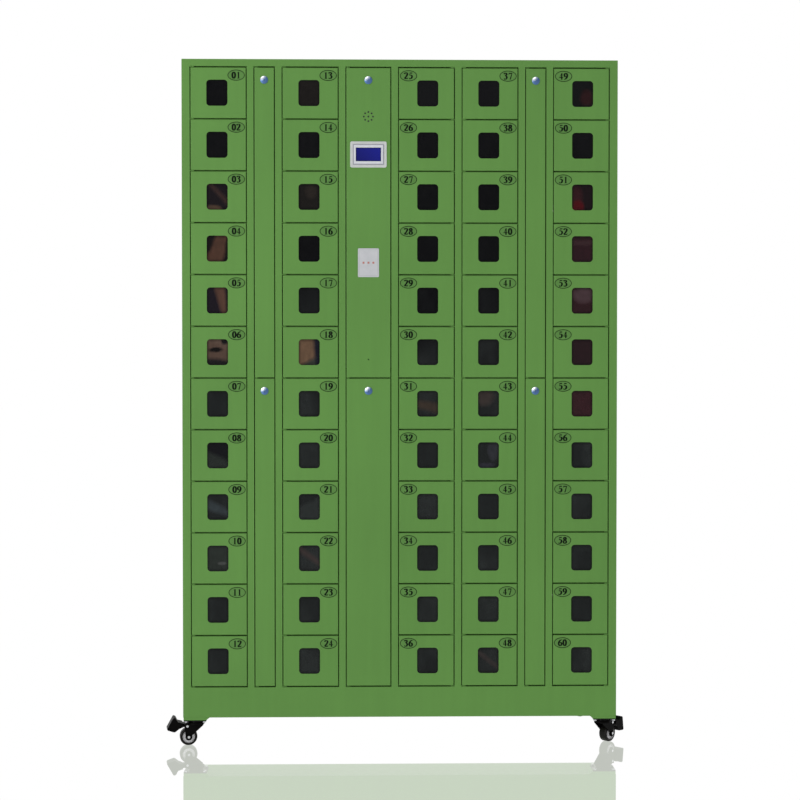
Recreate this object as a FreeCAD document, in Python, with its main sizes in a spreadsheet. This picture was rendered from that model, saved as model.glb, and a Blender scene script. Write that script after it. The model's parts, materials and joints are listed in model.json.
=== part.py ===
import FreeCAD, Part
import math
import os
from Sketcher import Constraint

# Phone charging kiosk: a painted sheet-steel cabinet on four swivel casters.
# Five columns of twelve small windowed doors stand between three service bays. Each phone
# door is held by an electric lock in the service bay beside it, so it hangs on the far side.
# Millimetres. +X right, +Y back, +Z up. The origin is on the floor, in the middle of the
# cabinet's width and depth. The doors face -Y.

ROWS = 12
UPPER_ROWS = 6
doc = FreeCAD.newDocument("phone_charging_kiosk")
sheet = doc.addObject("Spreadsheet::Sheet", "dims")
nodes = []


class Dim:
    """A length with its value in millimetres and the spreadsheet expression that gives it."""

    def __init__(self, value, text=None):
        self.value = float(value)
        self.text = text or repr(float(value))

    def __add__(self, other):
        other = as_dim(other)
        return Dim(self.value + other.value, f"({self.text} + {other.text})")

    def __sub__(self, other):
        other = as_dim(other)
        return Dim(self.value - other.value, f"({self.text} - {other.text})")

    def __mul__(self, other):
        other = as_dim(other)
        return Dim(self.value * other.value, f"({self.text} * {other.text})")

    def __truediv__(self, other):
        other = as_dim(other)
        return Dim(self.value / other.value, f"({self.text} / {other.text})")

    def __neg__(self):
        return self * -1

    def __rsub__(self, other):
        return as_dim(other) - self

    __radd__ = __add__
    __rmul__ = __mul__


def as_dim(x):
    return x if isinstance(x, Dim) else Dim(x)


def cell(name, value):
    """Writes one driving dimension to the spreadsheet and returns it."""
    cell.row += 1
    sheet.set(f"A{cell.row}", name)
    sheet.set(f"B{cell.row}", str(value))
    sheet.setAlias(f"B{cell.row}", name)
    return Dim(value, f"dims.{name}")


cell.row = 0

# Cabinet. Bay widths and row pitch run between the centre lines of the door gaps.
COLUMN = cell("column_width", 160)
NARROW = cell("narrow_bay", 58.5)
CENTRE = cell("centre_bay", 128.5)
POST = cell("post_width", 21.5)
MARGIN = cell("side_margin", 24)
PITCH = cell("row_pitch", 147.5)
TOP_MARGIN = cell("top_margin", 22)
BASE_RAIL = cell("base_rail", 88)
DEPTH = cell("cabinet_depth", 400)
BASE = cell("base_height", 84)
SHEET = cell("panel_sheet", 1.2)
EDGE_RADIUS = cell("edge_radius", 1.0)
SHELF = cell("shelf_sheet", 1.0)
GAP = cell("side_gap", 2.4)
ROW_GAP = cell("row_gap", 3.6)
FRAME_DEPTH = cell("frame_depth", 25)
STOP_SETBACK = cell("stop_setback", 18)
STOP_HEIGHT = cell("stop_height", 16)
SERVICE_STOP_HEIGHT = cell("service_stop_height", 32)
BAY_DEPTH = cell("compartment_back", 320)

# Doors.
DOOR_DEPTH = cell("door_depth", 16)
LEAF_RADIUS = cell("leaf_edge_radius", 2.0)
PIVOT_INSET = cell("pivot_inset", 5)
PIN_RADIUS = cell("pin_radius", 2.0)
PIN_CLEARANCE = cell("pin_clearance", 0.05)
PIN_REACH = cell("pin_reach", 4.8)
TAB_THICKNESS = cell("tab_thickness", 1.6)
TAB_REACH = cell("tab_reach", 5)
TAB_HALF_WIDTH = cell("tab_half_width", 4.5)
HIDDEN_TAB_SETBACK = cell("hidden_tab_setback", 2.5)
WINDOW_WIDTH = cell("window_width", 60)
WINDOW_HEIGHT = cell("window_height", 74)
WINDOW_RADIUS = cell("window_radius", 10)
WINDOW_SHIFT = cell("window_shift", 3.5)
PANE_MARGIN = cell("pane_margin", 6)
PANE_THICKNESS = cell("pane_thickness", 2)
HOOK_INSET = cell("hook_inset", 9)
HOOK_THICKNESS = cell("hook_thickness", 2)
HOOK_REACH = cell("hook_reach", 26)
HOOK_HEIGHT = cell("hook_height", 18)
HOOK_EYE = cell("hook_eye", 9)

# Cam locks of the service doors.
LOCK_DROP = cell("lock_drop", 37)
LOCK_RADIUS = cell("lock_head_radius", 11)
BARREL_RADIUS = cell("lock_barrel_radius", 8)
LOCK_PROUD = cell("lock_proud", 4.0)
LOCK_DOME = cell("lock_dome_radius", 26)
CAM_LENGTH = cell("cam_length", 28)
CAM_WIDTH = cell("cam_width", 12)
CAM_THICKNESS = cell("cam_thickness", 2)

# Fittings of the upper centre door, below its top gap line.
SPEAKER_DROP = cell("speaker_drop", 140)
SPEAKER_RADIUS = cell("speaker_radius", 20)
SPEAKER_RING = cell("speaker_ring_radius", 13)
SPEAKER_HOLE = cell("speaker_hole_radius", 2.6)
DISPLAY_DROP = cell("display_drop", 248)
BEZEL_WIDTH = cell("bezel_width", 104)
BEZEL_HEIGHT = cell("bezel_height", 74)
SCREEN_WIDTH = cell("screen_width", 72)
SCREEN_HEIGHT = cell("screen_height", 39)
READER_DROP = cell("reader_drop", 556)
READER_WIDTH = cell("reader_width", 60)
READER_HEIGHT = cell("reader_height", 82)
INDICATOR_DROP = cell("indicator_drop", 832)
INDICATOR_RADIUS = cell("indicator_radius", 2)

# Equipment inside.
LOCK_CASE = cell("lock_case_thickness", 14)
LOCK_CASE_LENGTH = cell("lock_case_length", 68)
LOCK_CASE_HEIGHT = cell("lock_case_height", 42)
SOCKET_WIDTH = cell("socket_width", 24)
SOCKET_HEIGHT = cell("socket_height", 12)
SOCKET_FLANGE = cell("socket_flange", 4)
PLATE_SETBACK = cell("plate_setback", 260)
PLATE_THICKNESS = cell("plate_thickness", 1.5)
SUPPLY_WIDTH = cell("supply_width", 115)
SUPPLY_DEPTH = cell("supply_depth", 50)
SUPPLY_HEIGHT = cell("supply_height", 215)
BOARD_WIDTH = cell("board_width", 90)
BOARD_HEIGHT = cell("board_height", 120)
BOARD_THICKNESS = cell("board_thickness", 1.6)
STANDOFF = cell("standoff_length", 10)
LOOM_RADIUS = cell("loom_radius", 6)
INLET_WIDTH = cell("inlet_width", 48)
INLET_HEIGHT = cell("inlet_height", 28)
SLOT_WIDTH = cell("vent_slot_width", 90)
SLOT_HEIGHT = cell("vent_slot_height", 6)
SLOT_PITCH = cell("vent_slot_pitch", 18)
SCREW_RADIUS = cell("screw_radius", 2)
SCREW_HEAD = cell("screw_head_radius", 4)

# Casters, measured up from the floor.
PLATE_SIZE = cell("caster_plate_size", 65)
PAD_FLARE = cell("caster_pad_flare", 10)
PAD_INSET = cell("caster_pad_inset", 1)
CASTER_HEIGHT = cell("caster_height", 76)
TOP_PLATE = cell("caster_plate_thickness", 3)
BOLT_SPACING = cell("caster_bolt_spacing", 52)
BOLT_RADIUS = cell("caster_bolt_radius", 3)
RACE_RADIUS = cell("race_radius", 20)
CROWN_RADIUS = cell("crown_radius", 24)
CROWN_TOP = cell("crown_top", 67)
CROWN_BOTTOM = cell("crown_bottom", 60)
KINGPIN_RADIUS = cell("kingpin_radius", 6)
SWIVEL_GAP = cell("swivel_gap", 0.2)
WHEEL_RADIUS = cell("wheel_radius", 25)
TRAIL = cell("wheel_trail", 22)
AXLE_RADIUS = cell("axle_radius", 4)
LEG_INSIDE = cell("leg_inside", 13.5)
LEG_SHEET = cell("leg_sheet", 2.5)
PEDAL_PIVOT = cell("pedal_pivot_reach", 26)
PEDAL_PIVOT_HEIGHT = cell("pedal_pivot_height", 56)
PEDAL_PIN = cell("pedal_pin_radius", 2.5)

BAY_KINDS = ["phone", "narrow", "phone", "centre", "phone", "phone", "narrow", "phone"]
BAY_WIDTH = {"phone": COLUMN, "narrow": NARROW, "centre": CENTRE}
RIGHT_HUNG = (4, 7)
WIDTH = MARGIN * 2 + COLUMN * 5 + NARROW * 2 + CENTRE + POST * 7
FRONT = -DEPTH / 2
BACK = DEPTH / 2
BOTTOM_LINE = BASE + BASE_RAIL
TOP_LINE = BOTTOM_LINE + PITCH * ROWS
MID_LINE = TOP_LINE - PITCH * UPPER_ROWS
TOP = TOP_LINE + TOP_MARGIN
PIVOT_Y = FRONT + PIVOT_INSET
LEAF_WIDTH = COLUMN - GAP
LEAF_HEIGHT = PITCH - ROW_GAP
SERVICE_HEIGHT = PITCH * UPPER_ROWS - ROW_GAP


# ---------------------------------------------------------------- modelling helpers


def bind(thing, prop, dim):
    thing.setExpression(prop, f"{as_dim(dim).text} * 1mm")


def place(thing, corner, turn=None):
    if turn is not None:
        thing.Placement = FreeCAD.Placement(FreeCAD.Vector(), turn)
    for axis, dim in zip("xyz", corner):
        bind(thing, f"Placement.Base.{axis}", dim)
    return thing


def box(name, corner, size):
    made = doc.addObject("Part::Box", name)
    for prop, dim in zip(("Length", "Width", "Height"), size):
        bind(made, prop, dim)
    return place(made, corner)


ALONG_Y = FreeCAD.Rotation(FreeCAD.Vector(1, 0, 0), -90)
UPRIGHT = FreeCAD.Rotation(FreeCAD.Vector(1, 0, 0), 90)
HALF_TURN = FreeCAD.Rotation(FreeCAD.Vector(0, 0, 1), 180)


def cylinder(name, base, radius, height, turn=None):
    made = doc.addObject("Part::Cylinder", name)
    bind(made, "Radius", radius)
    bind(made, "Height", height)
    return place(made, base, turn)


def hexagon(name, base, radius, height, turn=None):
    made = doc.addObject("Part::Prism", name)
    made.Polygon = 6
    bind(made, "Circumradius", radius)
    bind(made, "Height", height)
    return place(made, base, turn)


def copy_at(source, base, turn=None):
    """A linked copy of a source part, moved to base."""
    link = doc.addObject("App::Link", source.Name + "_copy")
    link.LinkedObject = source
    link.LinkTransform = True
    return place(link, base, turn)


def compound(name, members):
    made = doc.addObject("Part::Compound", name)
    made.Links = members
    return made


def fuse(name, members):
    made = doc.addObject("Part::MultiFuse", name)
    made.Shapes = members
    made.Refine = True
    return made


def cut(name, base, tools):
    made = doc.addObject("Part::Cut", name)
    made.Base = base
    made.Tool = tools[0] if len(tools) == 1 else compound(name + "_tools", tools)
    return made


def node(label, thing):
    """Marks a part as a finished sub-part with its own name and file."""
    thing.Label = label
    nodes.append(thing)
    return thing


def group_node(label, members):
    return node(label, compound(label, members))


def sketch(body, role, lift=0):
    """A sketch on one of the body's origin planes, moved along that plane's normal."""
    made = body.newObject("Sketcher::SketchObject", "outline")
    support = next(f for f in body.Origin.OriginFeatures if f.Role == role)
    made.AttachmentSupport = [(support, "")]
    made.MapMode = "FlatFace"
    bind(made, "AttachmentOffset.Base.z", lift)
    return made


def pin_point(made, geometry, point, x, y):
    """Fixes a sketch point by its two distances from the sketch's origin."""
    for kind, dim in (("DistanceX", as_dim(x)), ("DistanceY", as_dim(y))):
        rule = Constraint(kind, -1, 1, geometry, point, dim.value)
        index = made.addConstraint(rule)
        bind(made, f"Constraints[{index}]", dim)


def outline(made, points):
    """A closed outline of straight lines through the given points."""
    first = made.GeometryCount
    count = len(points)
    corners = [FreeCAD.Vector(as_dim(x).value, as_dim(y).value, 0) for x, y in points]
    for i in range(count):
        made.addGeometry(Part.LineSegment(corners[i], corners[(i + 1) % count]))
    for i in range(count):
        made.addConstraint(Constraint("Coincident", first + i, 2, first + (i + 1) % count, 1))
    for i, (x, y) in enumerate(points):
        pin_point(made, first + i, 1, x, y)
    return made


def rectangle(made, left, bottom, right, top):
    return outline(made, [(left, bottom), (right, bottom), (right, top), (left, top)])


def circle(made, x, y, radius):
    centre = FreeCAD.Vector(as_dim(x).value, as_dim(y).value, 0)
    index = made.addGeometry(
        Part.Circle(centre, FreeCAD.Vector(0, 0, 1), as_dim(radius).value)
    )
    pin_point(made, index, 3, x, y)
    rule = made.addConstraint(Constraint("Radius", index, as_dim(radius).value))
    bind(made, f"Constraints[{rule}]", radius)
    return made


def pad(body, profile, length):
    made = body.newObject("PartDesign::Pad", "pad")
    made.Profile = profile
    bind(made, "Length", length)
    return made


def pocket(body, profile, length, against_normal=True):
    made = body.newObject("PartDesign::Pocket", "pocket")
    made.Profile = profile
    made.Reversed = not against_normal
    bind(made, "Length", length)
    return made


def runs_along(edge, axis):
    ends = [getattr(v.Point, axis) for v in edge.Vertexes]
    return max(ends) - min(ends) > 0.1


def fillet(body, feature, radius, wanted, along=None):
    """Rounds the edges whose end points all pass the wanted test, or those along one axis."""
    doc.recompute()
    names = [
        f"Edge{i}"
        for i, edge in enumerate(feature.Shape.Edges, 1)
        if all(wanted(v.Point) for v in edge.Vertexes)
        and (along is None or runs_along(edge, along))
    ]
    made = body.newObject("PartDesign::Fillet", "fillet")
    made.Base = (feature, names)
    bind(made, "Radius", radius)
    return made


def near(value, *dims):
    return any(abs(value - as_dim(d).value) < 1e-6 for d in dims)


# ---------------------------------------------------------------- layout


def gap_line(bay):
    """X of the gap line on the left of a bay."""
    x = -WIDTH / 2 + MARGIN + POST * bay
    for kind in BAY_KINDS[:bay]:
        x = x + BAY_WIDTH[kind]
    return x


def row_line(row):
    """Z of the gap line under a row, rows counted from the top."""
    return TOP_LINE - PITCH * (row + 1)


def opening(bay):
    """X of the left and right sides of a bay's opening in the frame."""
    left = gap_line(bay) - GAP / 2
    return left, left + BAY_WIDTH[BAY_KINDS[bay]] + GAP


def pivot_x(bay):
    left, right = opening(bay)
    if bay in RIGHT_HUNG:
        return right - GAP - PIVOT_INSET
    return left + GAP + PIVOT_INSET


SERVICE_LINES = [TOP_LINE, MID_LINE, BOTTOM_LINE]
PHONE_BAYS = [i for i, kind in enumerate(BAY_KINDS) if kind == "phone"]
SERVICE_BAYS = [i for i, kind in enumerate(BAY_KINDS) if kind != "phone"]
SERVICE_NAMES = dict(zip(SERVICE_BAYS, ("left", "centre", "right")))


# ---------------------------------------------------------------- cabinet shell


def side_panel(label, x, outside):
    body = doc.addObject("PartDesign::Body", label)
    plate = pad(
        body,
        rectangle(sketch(body, "XY_Plane", BASE), 0, FRONT, SHEET, BACK),
        TOP - BASE,
    )
    fillet(
        body, plate, EDGE_RADIUS, lambda p: near(p.x, outside) and near(p.y, FRONT, BACK)
    )
    place(body, (x, 0, 0))
    return node(label, body)


side_panel("left_side_panel", -WIDTH / 2, 0)
side_panel("right_side_panel", WIDTH / 2 - SHEET, SHEET)

INSIDE = WIDTH - SHEET * 2
node("top_panel", box("top_panel", (-INSIDE / 2, FRONT, TOP - SHEET), (INSIDE, DEPTH, SHEET)))
node("bottom_panel", box("bottom_panel", (-INSIDE / 2, FRONT, BASE), (INSIDE, DEPTH, SHEET)))

SCREW_COLUMNS = 6
SCREW_ROWS = 4
SCREW_INSET = 15
VENT_SLOTS = 10
INLET_X = WIDTH / -2 + 120
INLET_Z = BASE + 60


def screw_places():
    """X and Z of the screws that hold the back panel, round its edge."""
    wide = INSIDE - 2 * SCREW_INSET
    tall = TOP - BASE - 2 * SCREW_INSET
    for i in range(SCREW_COLUMNS):
        for z in (BASE + SCREW_INSET, TOP - SCREW_INSET):
            yield -wide / 2 + wide * (i / (SCREW_COLUMNS - 1)), z
    for i in range(1, SCREW_ROWS):
        for side in (-0.5, 0.5):
            yield wide * side, BASE + SCREW_INSET + tall * (i / SCREW_ROWS)


def vent_places():
    """X and Z of the lower left corner of each vent slot, in two banks for each phone column."""
    for bay in PHONE_BAYS:
        middle = gap_line(bay) + COLUMN / 2
        for bank in (BOTTOM_LINE + PITCH, MID_LINE + PITCH * 3):
            for i in range(VENT_SLOTS):
                yield middle - SLOT_WIDTH / 2, bank + SLOT_PITCH * i


def back_panel():
    plate = box(
        "back_plate", (-INSIDE / 2, BACK - SHEET, BASE + SHEET),
        (INSIDE, SHEET, TOP - BASE - SHEET * 2),
    )
    slot = box("vent_slot", (0, 0, 0), (SLOT_WIDTH, SHEET * 3, SLOT_HEIGHT))
    hole = cylinder("screw_hole", (0, 0, 0), SCREW_RADIUS + PIN_CLEARANCE, SHEET * 3, ALONG_Y)
    behind = BACK - SHEET * 2
    tools = [copy_at(slot, (x, behind, z)) for x, z in vent_places()]
    tools += [copy_at(hole, (x, behind, z)) for x, z in screw_places()]
    tools.append(
        box(
            "inlet_opening", (INLET_X - INLET_WIDTH / 2, behind, INLET_Z),
            (INLET_WIDTH, SHEET * 3, INLET_HEIGHT),
        )
    )
    node("back_panel", cut("back_panel", plate, tools))


def panel_screws():
    head = 2.5
    shank = 8
    screw = fuse("panel_screw", [
        cylinder("screw_head", (0, 0, 0), SCREW_HEAD, head, ALONG_Y),
        cylinder("screw_shank", (0, -shank, 0), SCREW_RADIUS, shank, ALONG_Y),
    ])
    group_node("panel_screws", [copy_at(screw, (x, BACK, z)) for x, z in screw_places()])


back_panel()
panel_screws()


# ---------------------------------------------------------------- front frame


def channel(name, corner, size, open_side):
    """A folded channel: a box with its back and two ends open, walls SHEET thick."""
    length, width, height = size
    outer = box(name + "_outer", corner, size)
    x, y, z = corner
    if open_side == "upright":
        inner = box(
            name + "_inner", (x + SHEET, y + SHEET, z - 1),
            (length - SHEET * 2, width, height + 2),
        )
    else:
        inner = box(
            name + "_inner", (x - 1, y + SHEET, z + SHEET),
            (length + 2, width, height - SHEET * 2),
        )
    return cut(name, outer, [inner])


def front_frame():
    low = BOTTOM_LINE - ROW_GAP / 2
    tall = PITCH * ROWS + ROW_GAP
    post = channel("post", (0, 0, 0), (POST - GAP, FRAME_DEPTH, tall), "upright")
    stile = channel(
        "stile", (0, 0, 0), (MARGIN - GAP / 2 - SHEET, FRAME_DEPTH, tall), "upright"
    )
    members = [copy_at(post, (opening(i)[1], FRONT, low)) for i in range(len(BAY_KINDS) - 1)]
    members += [
        copy_at(stile, (-INSIDE / 2, FRONT, low)),
        copy_at(stile, (opening(len(BAY_KINDS) - 1)[1], FRONT, low)),
        channel(
            "top_rail", (-INSIDE / 2, FRONT, TOP_LINE + ROW_GAP / 2),
            (INSIDE, FRAME_DEPTH, TOP_MARGIN - ROW_GAP / 2 - SHEET), "level",
        ),
        channel(
            "base_rail", (-INSIDE / 2, FRONT, BASE + SHEET),
            (INSIDE, FRAME_DEPTH, BASE_RAIL - ROW_GAP / 2 - SHEET), "level",
        ),
    ]
    stop_y = FRONT + STOP_SETBACK
    for kind, height, lines in (
        ("phone", STOP_HEIGHT, [row_line(r) for r in range(-1, ROWS)]),
        ("narrow", SERVICE_STOP_HEIGHT, SERVICE_LINES),
        ("centre", SERVICE_STOP_HEIGHT, SERVICE_LINES),
    ):
        strip = box(kind + "_stop", (0, 0, 0), (BAY_WIDTH[kind] + GAP, SHEET, height))
        for bay, bay_kind in enumerate(BAY_KINDS):
            if bay_kind == kind:
                members += [
                    copy_at(strip, (opening(bay)[0], stop_y, z - height / 2)) for z in lines
                ]
    group_node("front_frame", members)


front_frame()


# ---------------------------------------------------------------- phone compartments

BACK_SHEET_Y = FRONT + BAY_DEPTH
WALL_Y = FRONT + FRAME_DEPTH
SHELF_Y = FRONT + STOP_SETBACK + SHEET
WALL_LENGTH = BACK_SHEET_Y + SHEET - WALL_Y
WALL_Z = BASE + SHEET
WALL_HEIGHT = TOP - BASE - SHEET * 2
HOOK_MIDDLE_Y = FRONT + DOOR_DEPTH + HOOK_REACH - HOOK_EYE


def partitions():
    """The two side walls of each phone column. The wall on the lock side has a slot per door."""
    plain = box("plain_wall", (0, 0, 0), (SHELF, WALL_LENGTH, WALL_HEIGHT))
    blank = box("slotted_wall_blank", (0, 0, 0), (SHELF, WALL_LENGTH, WALL_HEIGHT))
    slot = box(
        "lock_slot", (0, 0, 0), (SHELF * 3, HOOK_EYE * 2, HOOK_EYE + 2)
    )
    slots = [
        copy_at(slot, (-SHELF, HOOK_MIDDLE_Y - HOOK_EYE - WALL_Y, mid_of(r) - WALL_Z - HOOK_EYE / 2 - 1))
        for r in range(ROWS)
    ]
    slotted = cut("slotted_wall", blank, slots)
    members = []
    for bay in PHONE_BAYS:
        left, right = opening(bay)
        lock_left = bay in RIGHT_HUNG
        members.append(copy_at(slotted if lock_left else plain, (left - SHELF, WALL_Y, WALL_Z)))
        members.append(copy_at(plain if lock_left else slotted, (right, WALL_Y, WALL_Z)))
    group_node("bay_partitions", members)


def mid_of(row):
    return row_line(row) + PITCH / 2


def shelves():
    depth = BACK_SHEET_Y - SHELF_Y
    shelf = box("shelf", (0, 0, 0), (COLUMN + GAP, depth, SHELF))
    group_node("compartment_shelves", [
        copy_at(shelf, (opening(bay)[0], SHELF_Y, row_line(r) - SHELF / 2))
        for bay in PHONE_BAYS
        for r in range(-1, ROWS)
    ])


SOCKET_RISE = 40
VENT_GAP = 14


def compartment_backs():
    blank = box("back_sheet_blank", (0, 0, 0), (COLUMN + GAP, SHEET, WALL_HEIGHT))
    hole = box("socket_hole", (0, 0, 0), (SOCKET_WIDTH, SHEET * 3, SOCKET_HEIGHT))
    vent = box("back_vent", (0, 0, 0), (SLOT_WIDTH, SHEET * 3, SLOT_HEIGHT / 2))
    middle = (COLUMN + GAP) / 2
    tools = []
    for r in range(ROWS):
        floor = row_line(r) - WALL_Z
        tools.append(copy_at(hole, (middle - SOCKET_WIDTH / 2, -SHEET, floor + SOCKET_RISE)))
        for i in (1, 2):
            z = floor + SOCKET_RISE + SOCKET_HEIGHT + VENT_GAP * i
            tools.append(copy_at(vent, (middle - SLOT_WIDTH / 2, -SHEET, z)))
    sheet_part = cut("back_sheet", blank, tools)
    group_node("compartment_backs", [
        copy_at(sheet_part, (opening(bay)[0], BACK_SHEET_Y, WALL_Z)) for bay in PHONE_BAYS
    ])


def usb_sockets():
    """Twin USB outlet: a flange on the compartment side and a body through the back sheet."""
    flange = 3
    body_depth = 22
    port = 7
    tall = SOCKET_HEIGHT / 2.4
    half = SOCKET_WIDTH / 2
    solid = fuse("socket_solid", [
        box(
            "socket_face", (-half - SOCKET_FLANGE, -flange, -SOCKET_FLANGE),
            (SOCKET_WIDTH + SOCKET_FLANGE * 2, flange, SOCKET_HEIGHT + SOCKET_FLANGE * 2),
        ),
        box("socket_body", (-half, 0, 0), (SOCKET_WIDTH, body_depth, SOCKET_HEIGHT)),
    ])
    ports = [
        box(
            f"port_{i}", (-half - SOCKET_FLANGE / 2 + (half + SOCKET_FLANGE / 2) * i, -flange - 1,
                          (SOCKET_HEIGHT - tall) / 2),
            (half, port, tall),
        )
        for i in range(2)
    ]
    socket = cut("usb_socket", solid, ports)
    group_node("usb_sockets", [
        copy_at(socket, (gap_line(bay) + COLUMN / 2, BACK_SHEET_Y, row_line(r) + SOCKET_RISE))
        for bay in PHONE_BAYS
        for r in range(ROWS)
    ])


def electric_locks():
    """Solenoid lock cases on the service-bay side of the slotted walls, drawn bolt inside."""
    half = LOCK_CASE_HEIGHT / 2
    nose = 4
    case = fuse("lock_solid", [
        box("lock_case", (0, 0, -half), (LOCK_CASE, LOCK_CASE_LENGTH * 0.62, LOCK_CASE_HEIGHT)),
        box("lock_coil", (1.5, 0, -half * 0.6), (LOCK_CASE - 3, LOCK_CASE_LENGTH, half * 1.2)),
    ])
    bolt_hole = box(
        "bolt_hole", (-1, HOOK_MIDDLE_Y - WALL_Y - nose, -nose), (LOCK_CASE + 2, nose * 2, nose * 2)
    )
    lock = cut("electric_lock", case, [bolt_hole])
    members = []
    for bay in PHONE_BAYS:
        left, right = opening(bay)
        x = left - SHELF - LOCK_CASE if bay in RIGHT_HUNG else right + SHELF
        members += [copy_at(lock, (x, WALL_Y, mid_of(r))) for r in range(ROWS)]
    group_node("electric_locks", members)


partitions()
shelves()
compartment_backs()
usb_sockets()
electric_locks()


# ---------------------------------------------------------------- doors


def leaf(name, width, height):
    """An open-backed pan with rounded front edges. Its origin is on the hinge line, at its foot."""
    body = doc.addObject("PartDesign::Body", name)
    left = -PIVOT_INSET
    right = width - PIVOT_INSET
    front = -PIVOT_INSET
    back = DOOR_DEPTH - PIVOT_INSET
    block = pad(body, rectangle(sketch(body, "XY_Plane"), left, front, right, back), height)
    rounded = fillet(
        body, block, LEAF_RADIUS,
        lambda p: near(p.y, front) and near(p.x, left, right) and near(p.z, 0, height),
    )
    hollow = rectangle(
        sketch(body, "XZ_Plane", -back), left + SHEET, SHEET, right - SHEET, height - SHEET
    )
    pocket(body, hollow, DOOR_DEPTH - SHEET, against_normal=False)
    holes = circle(sketch(body, "XY_Plane"), 0, 0, PIN_RADIUS + PIN_CLEARANCE)
    pocket(body, holes, height, against_normal=False)
    return body, rounded


def front_opening(body):
    """A sketch on the leaf's front face, for holes through its front sheet."""
    return sketch(body, "XZ_Plane", PIVOT_INSET)


def phone_leaf():
    body, _ = leaf("phone_leaf", LEAF_WIDTH, LEAF_HEIGHT)
    x = LEAF_WIDTH / 2 - PIVOT_INSET - WINDOW_SHIFT
    z = LEAF_HEIGHT / 2
    sides = [x - WINDOW_WIDTH / 2, x + WINDOW_WIDTH / 2]
    ends = [z - WINDOW_HEIGHT / 2, z + WINDOW_HEIGHT / 2]
    window = pocket(body, rectangle(front_opening(body), sides[0], ends[0], sides[1], ends[1]), SHEET)
    fillet(
        body, window, WINDOW_RADIUS, lambda p: near(p.x, *sides) and near(p.z, *ends), along="y",
    )
    outer = LEAF_WIDTH - PIVOT_INSET - HOOK_INSET + HOOK_THICKNESS
    tip = DOOR_DEPTH + HOOK_REACH - PIVOT_INSET
    foot = z - HOOK_HEIGHT / 2
    hook = rectangle(
        sketch(body, "XY_Plane", foot),
        outer - HOOK_THICKNESS, -PIVOT_INSET + SHEET / 2, outer, tip,
    )
    pad(body, hook, HOOK_HEIGHT)
    eye = rectangle(
        sketch(body, "YZ_Plane", outer),
        tip - HOOK_EYE * 1.5, z - HOOK_EYE / 2, tip - HOOK_EYE / 2, z + HOOK_EYE / 2,
    )
    pocket(body, eye, HOOK_THICKNESS)
    return body


def mirrored(name, source):
    made = doc.addObject("Part::Mirroring", name)
    made.Source = source
    made.Normal = FreeCAD.Vector(1, 0, 0)
    made.Base = FreeCAD.Vector(0, 0, 0)
    return made


LEFT_LEAF = phone_leaf()
RIGHT_LEAF = mirrored("phone_leaf_right", LEFT_LEAF)
PANE_WIDTH = WINDOW_WIDTH + PANE_MARGIN * 2
PANE_HEIGHT = WINDOW_HEIGHT + PANE_MARGIN * 2
PANE = box("window_pane", (0, 0, 0), (PANE_WIDTH, PANE_THICKNESS, PANE_HEIGHT))
SINGLE_DOOR = (2, 6)  # bay and row of the door that opens on its own


def phone_doors(column, bay):
    """One column's leaves and window panes. The single door has nodes of its own."""
    hand = -1 if bay in RIGHT_HUNG else 1
    source = RIGHT_LEAF if bay in RIGHT_HUNG else LEFT_LEAF
    x = pivot_x(bay)
    middle = x + hand * (LEAF_WIDTH / 2 - PIVOT_INSET - WINDOW_SHIFT)
    leaves, panes = [], []
    for r in range(ROWS):
        foot = row_line(r) + ROW_GAP / 2
        door = copy_at(source, (x, PIVOT_Y, foot))
        pane = copy_at(
            PANE, (middle - PANE_WIDTH / 2, FRONT + SHEET, foot + (LEAF_HEIGHT - PANE_HEIGHT) / 2)
        )
        if (bay, r) == SINGLE_DOOR:
            number = (column - 1) * ROWS + r + 1
            group_node(f"door_{number:02d}", [door])
            group_node(f"door_{number:02d}_window", [pane])
        else:
            leaves.append(door)
            panes.append(pane)
    group_node(f"column_{column}_doors", leaves)
    group_node(f"column_{column}_windows", panes)


def pivot_kinds(name, setback):
    """Pivot tabs for the top, the middle and the foot of a column of doors."""
    reach = GAP + PIVOT_INSET
    tab = box(
        name + "_tab", (-reach, setback - TAB_HALF_WIDTH, -TAB_THICKNESS / 2),
        (reach + TAB_REACH, TAB_HALF_WIDTH * 2 - setback, TAB_THICKNESS),
    )
    both = cylinder(name + "_pin_both", (0, 0, -PIN_REACH), PIN_RADIUS, PIN_REACH * 2)
    down = cylinder(name + "_pin_down", (0, 0, -PIN_REACH), PIN_RADIUS, PIN_REACH)
    up = cylinder(name + "_pin_up", (0, 0, 0), PIN_RADIUS, PIN_REACH)
    return {
        "middle": fuse(name + "_middle", [tab, both]),
        "top": fuse(name + "_top", [tab, down]),
        "bottom": fuse(name + "_bottom", [tab, up]),
    }


def door_pivots():
    """Pivot tabs welded to the posts in the door gaps, each with a pin into the doors it meets."""
    phone_kinds = pivot_kinds("phone", as_dim(0))
    service_kinds = pivot_kinds("service", HIDDEN_TAB_SETBACK)
    members = []
    for bay, kind in enumerate(BAY_KINDS):
        turn = HALF_TURN if bay in RIGHT_HUNG else None
        phone = kind == "phone"
        lines = [row_line(r) for r in range(-1, ROWS)] if phone else SERVICE_LINES
        kinds = phone_kinds if phone else service_kinds
        for i, z in enumerate(lines):
            end = {0: "top", len(lines) - 1: "bottom"}.get(i, "middle")
            members.append(copy_at(kinds[end], (pivot_x(bay), PIVOT_Y, z), turn))
    group_node("door_pivots", members)


for number, phone_bay in enumerate(PHONE_BAYS, 1):
    phone_doors(number, phone_bay)
door_pivots()

LOCK_RISE = SERVICE_HEIGHT + ROW_GAP / 2 - LOCK_DROP


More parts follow.
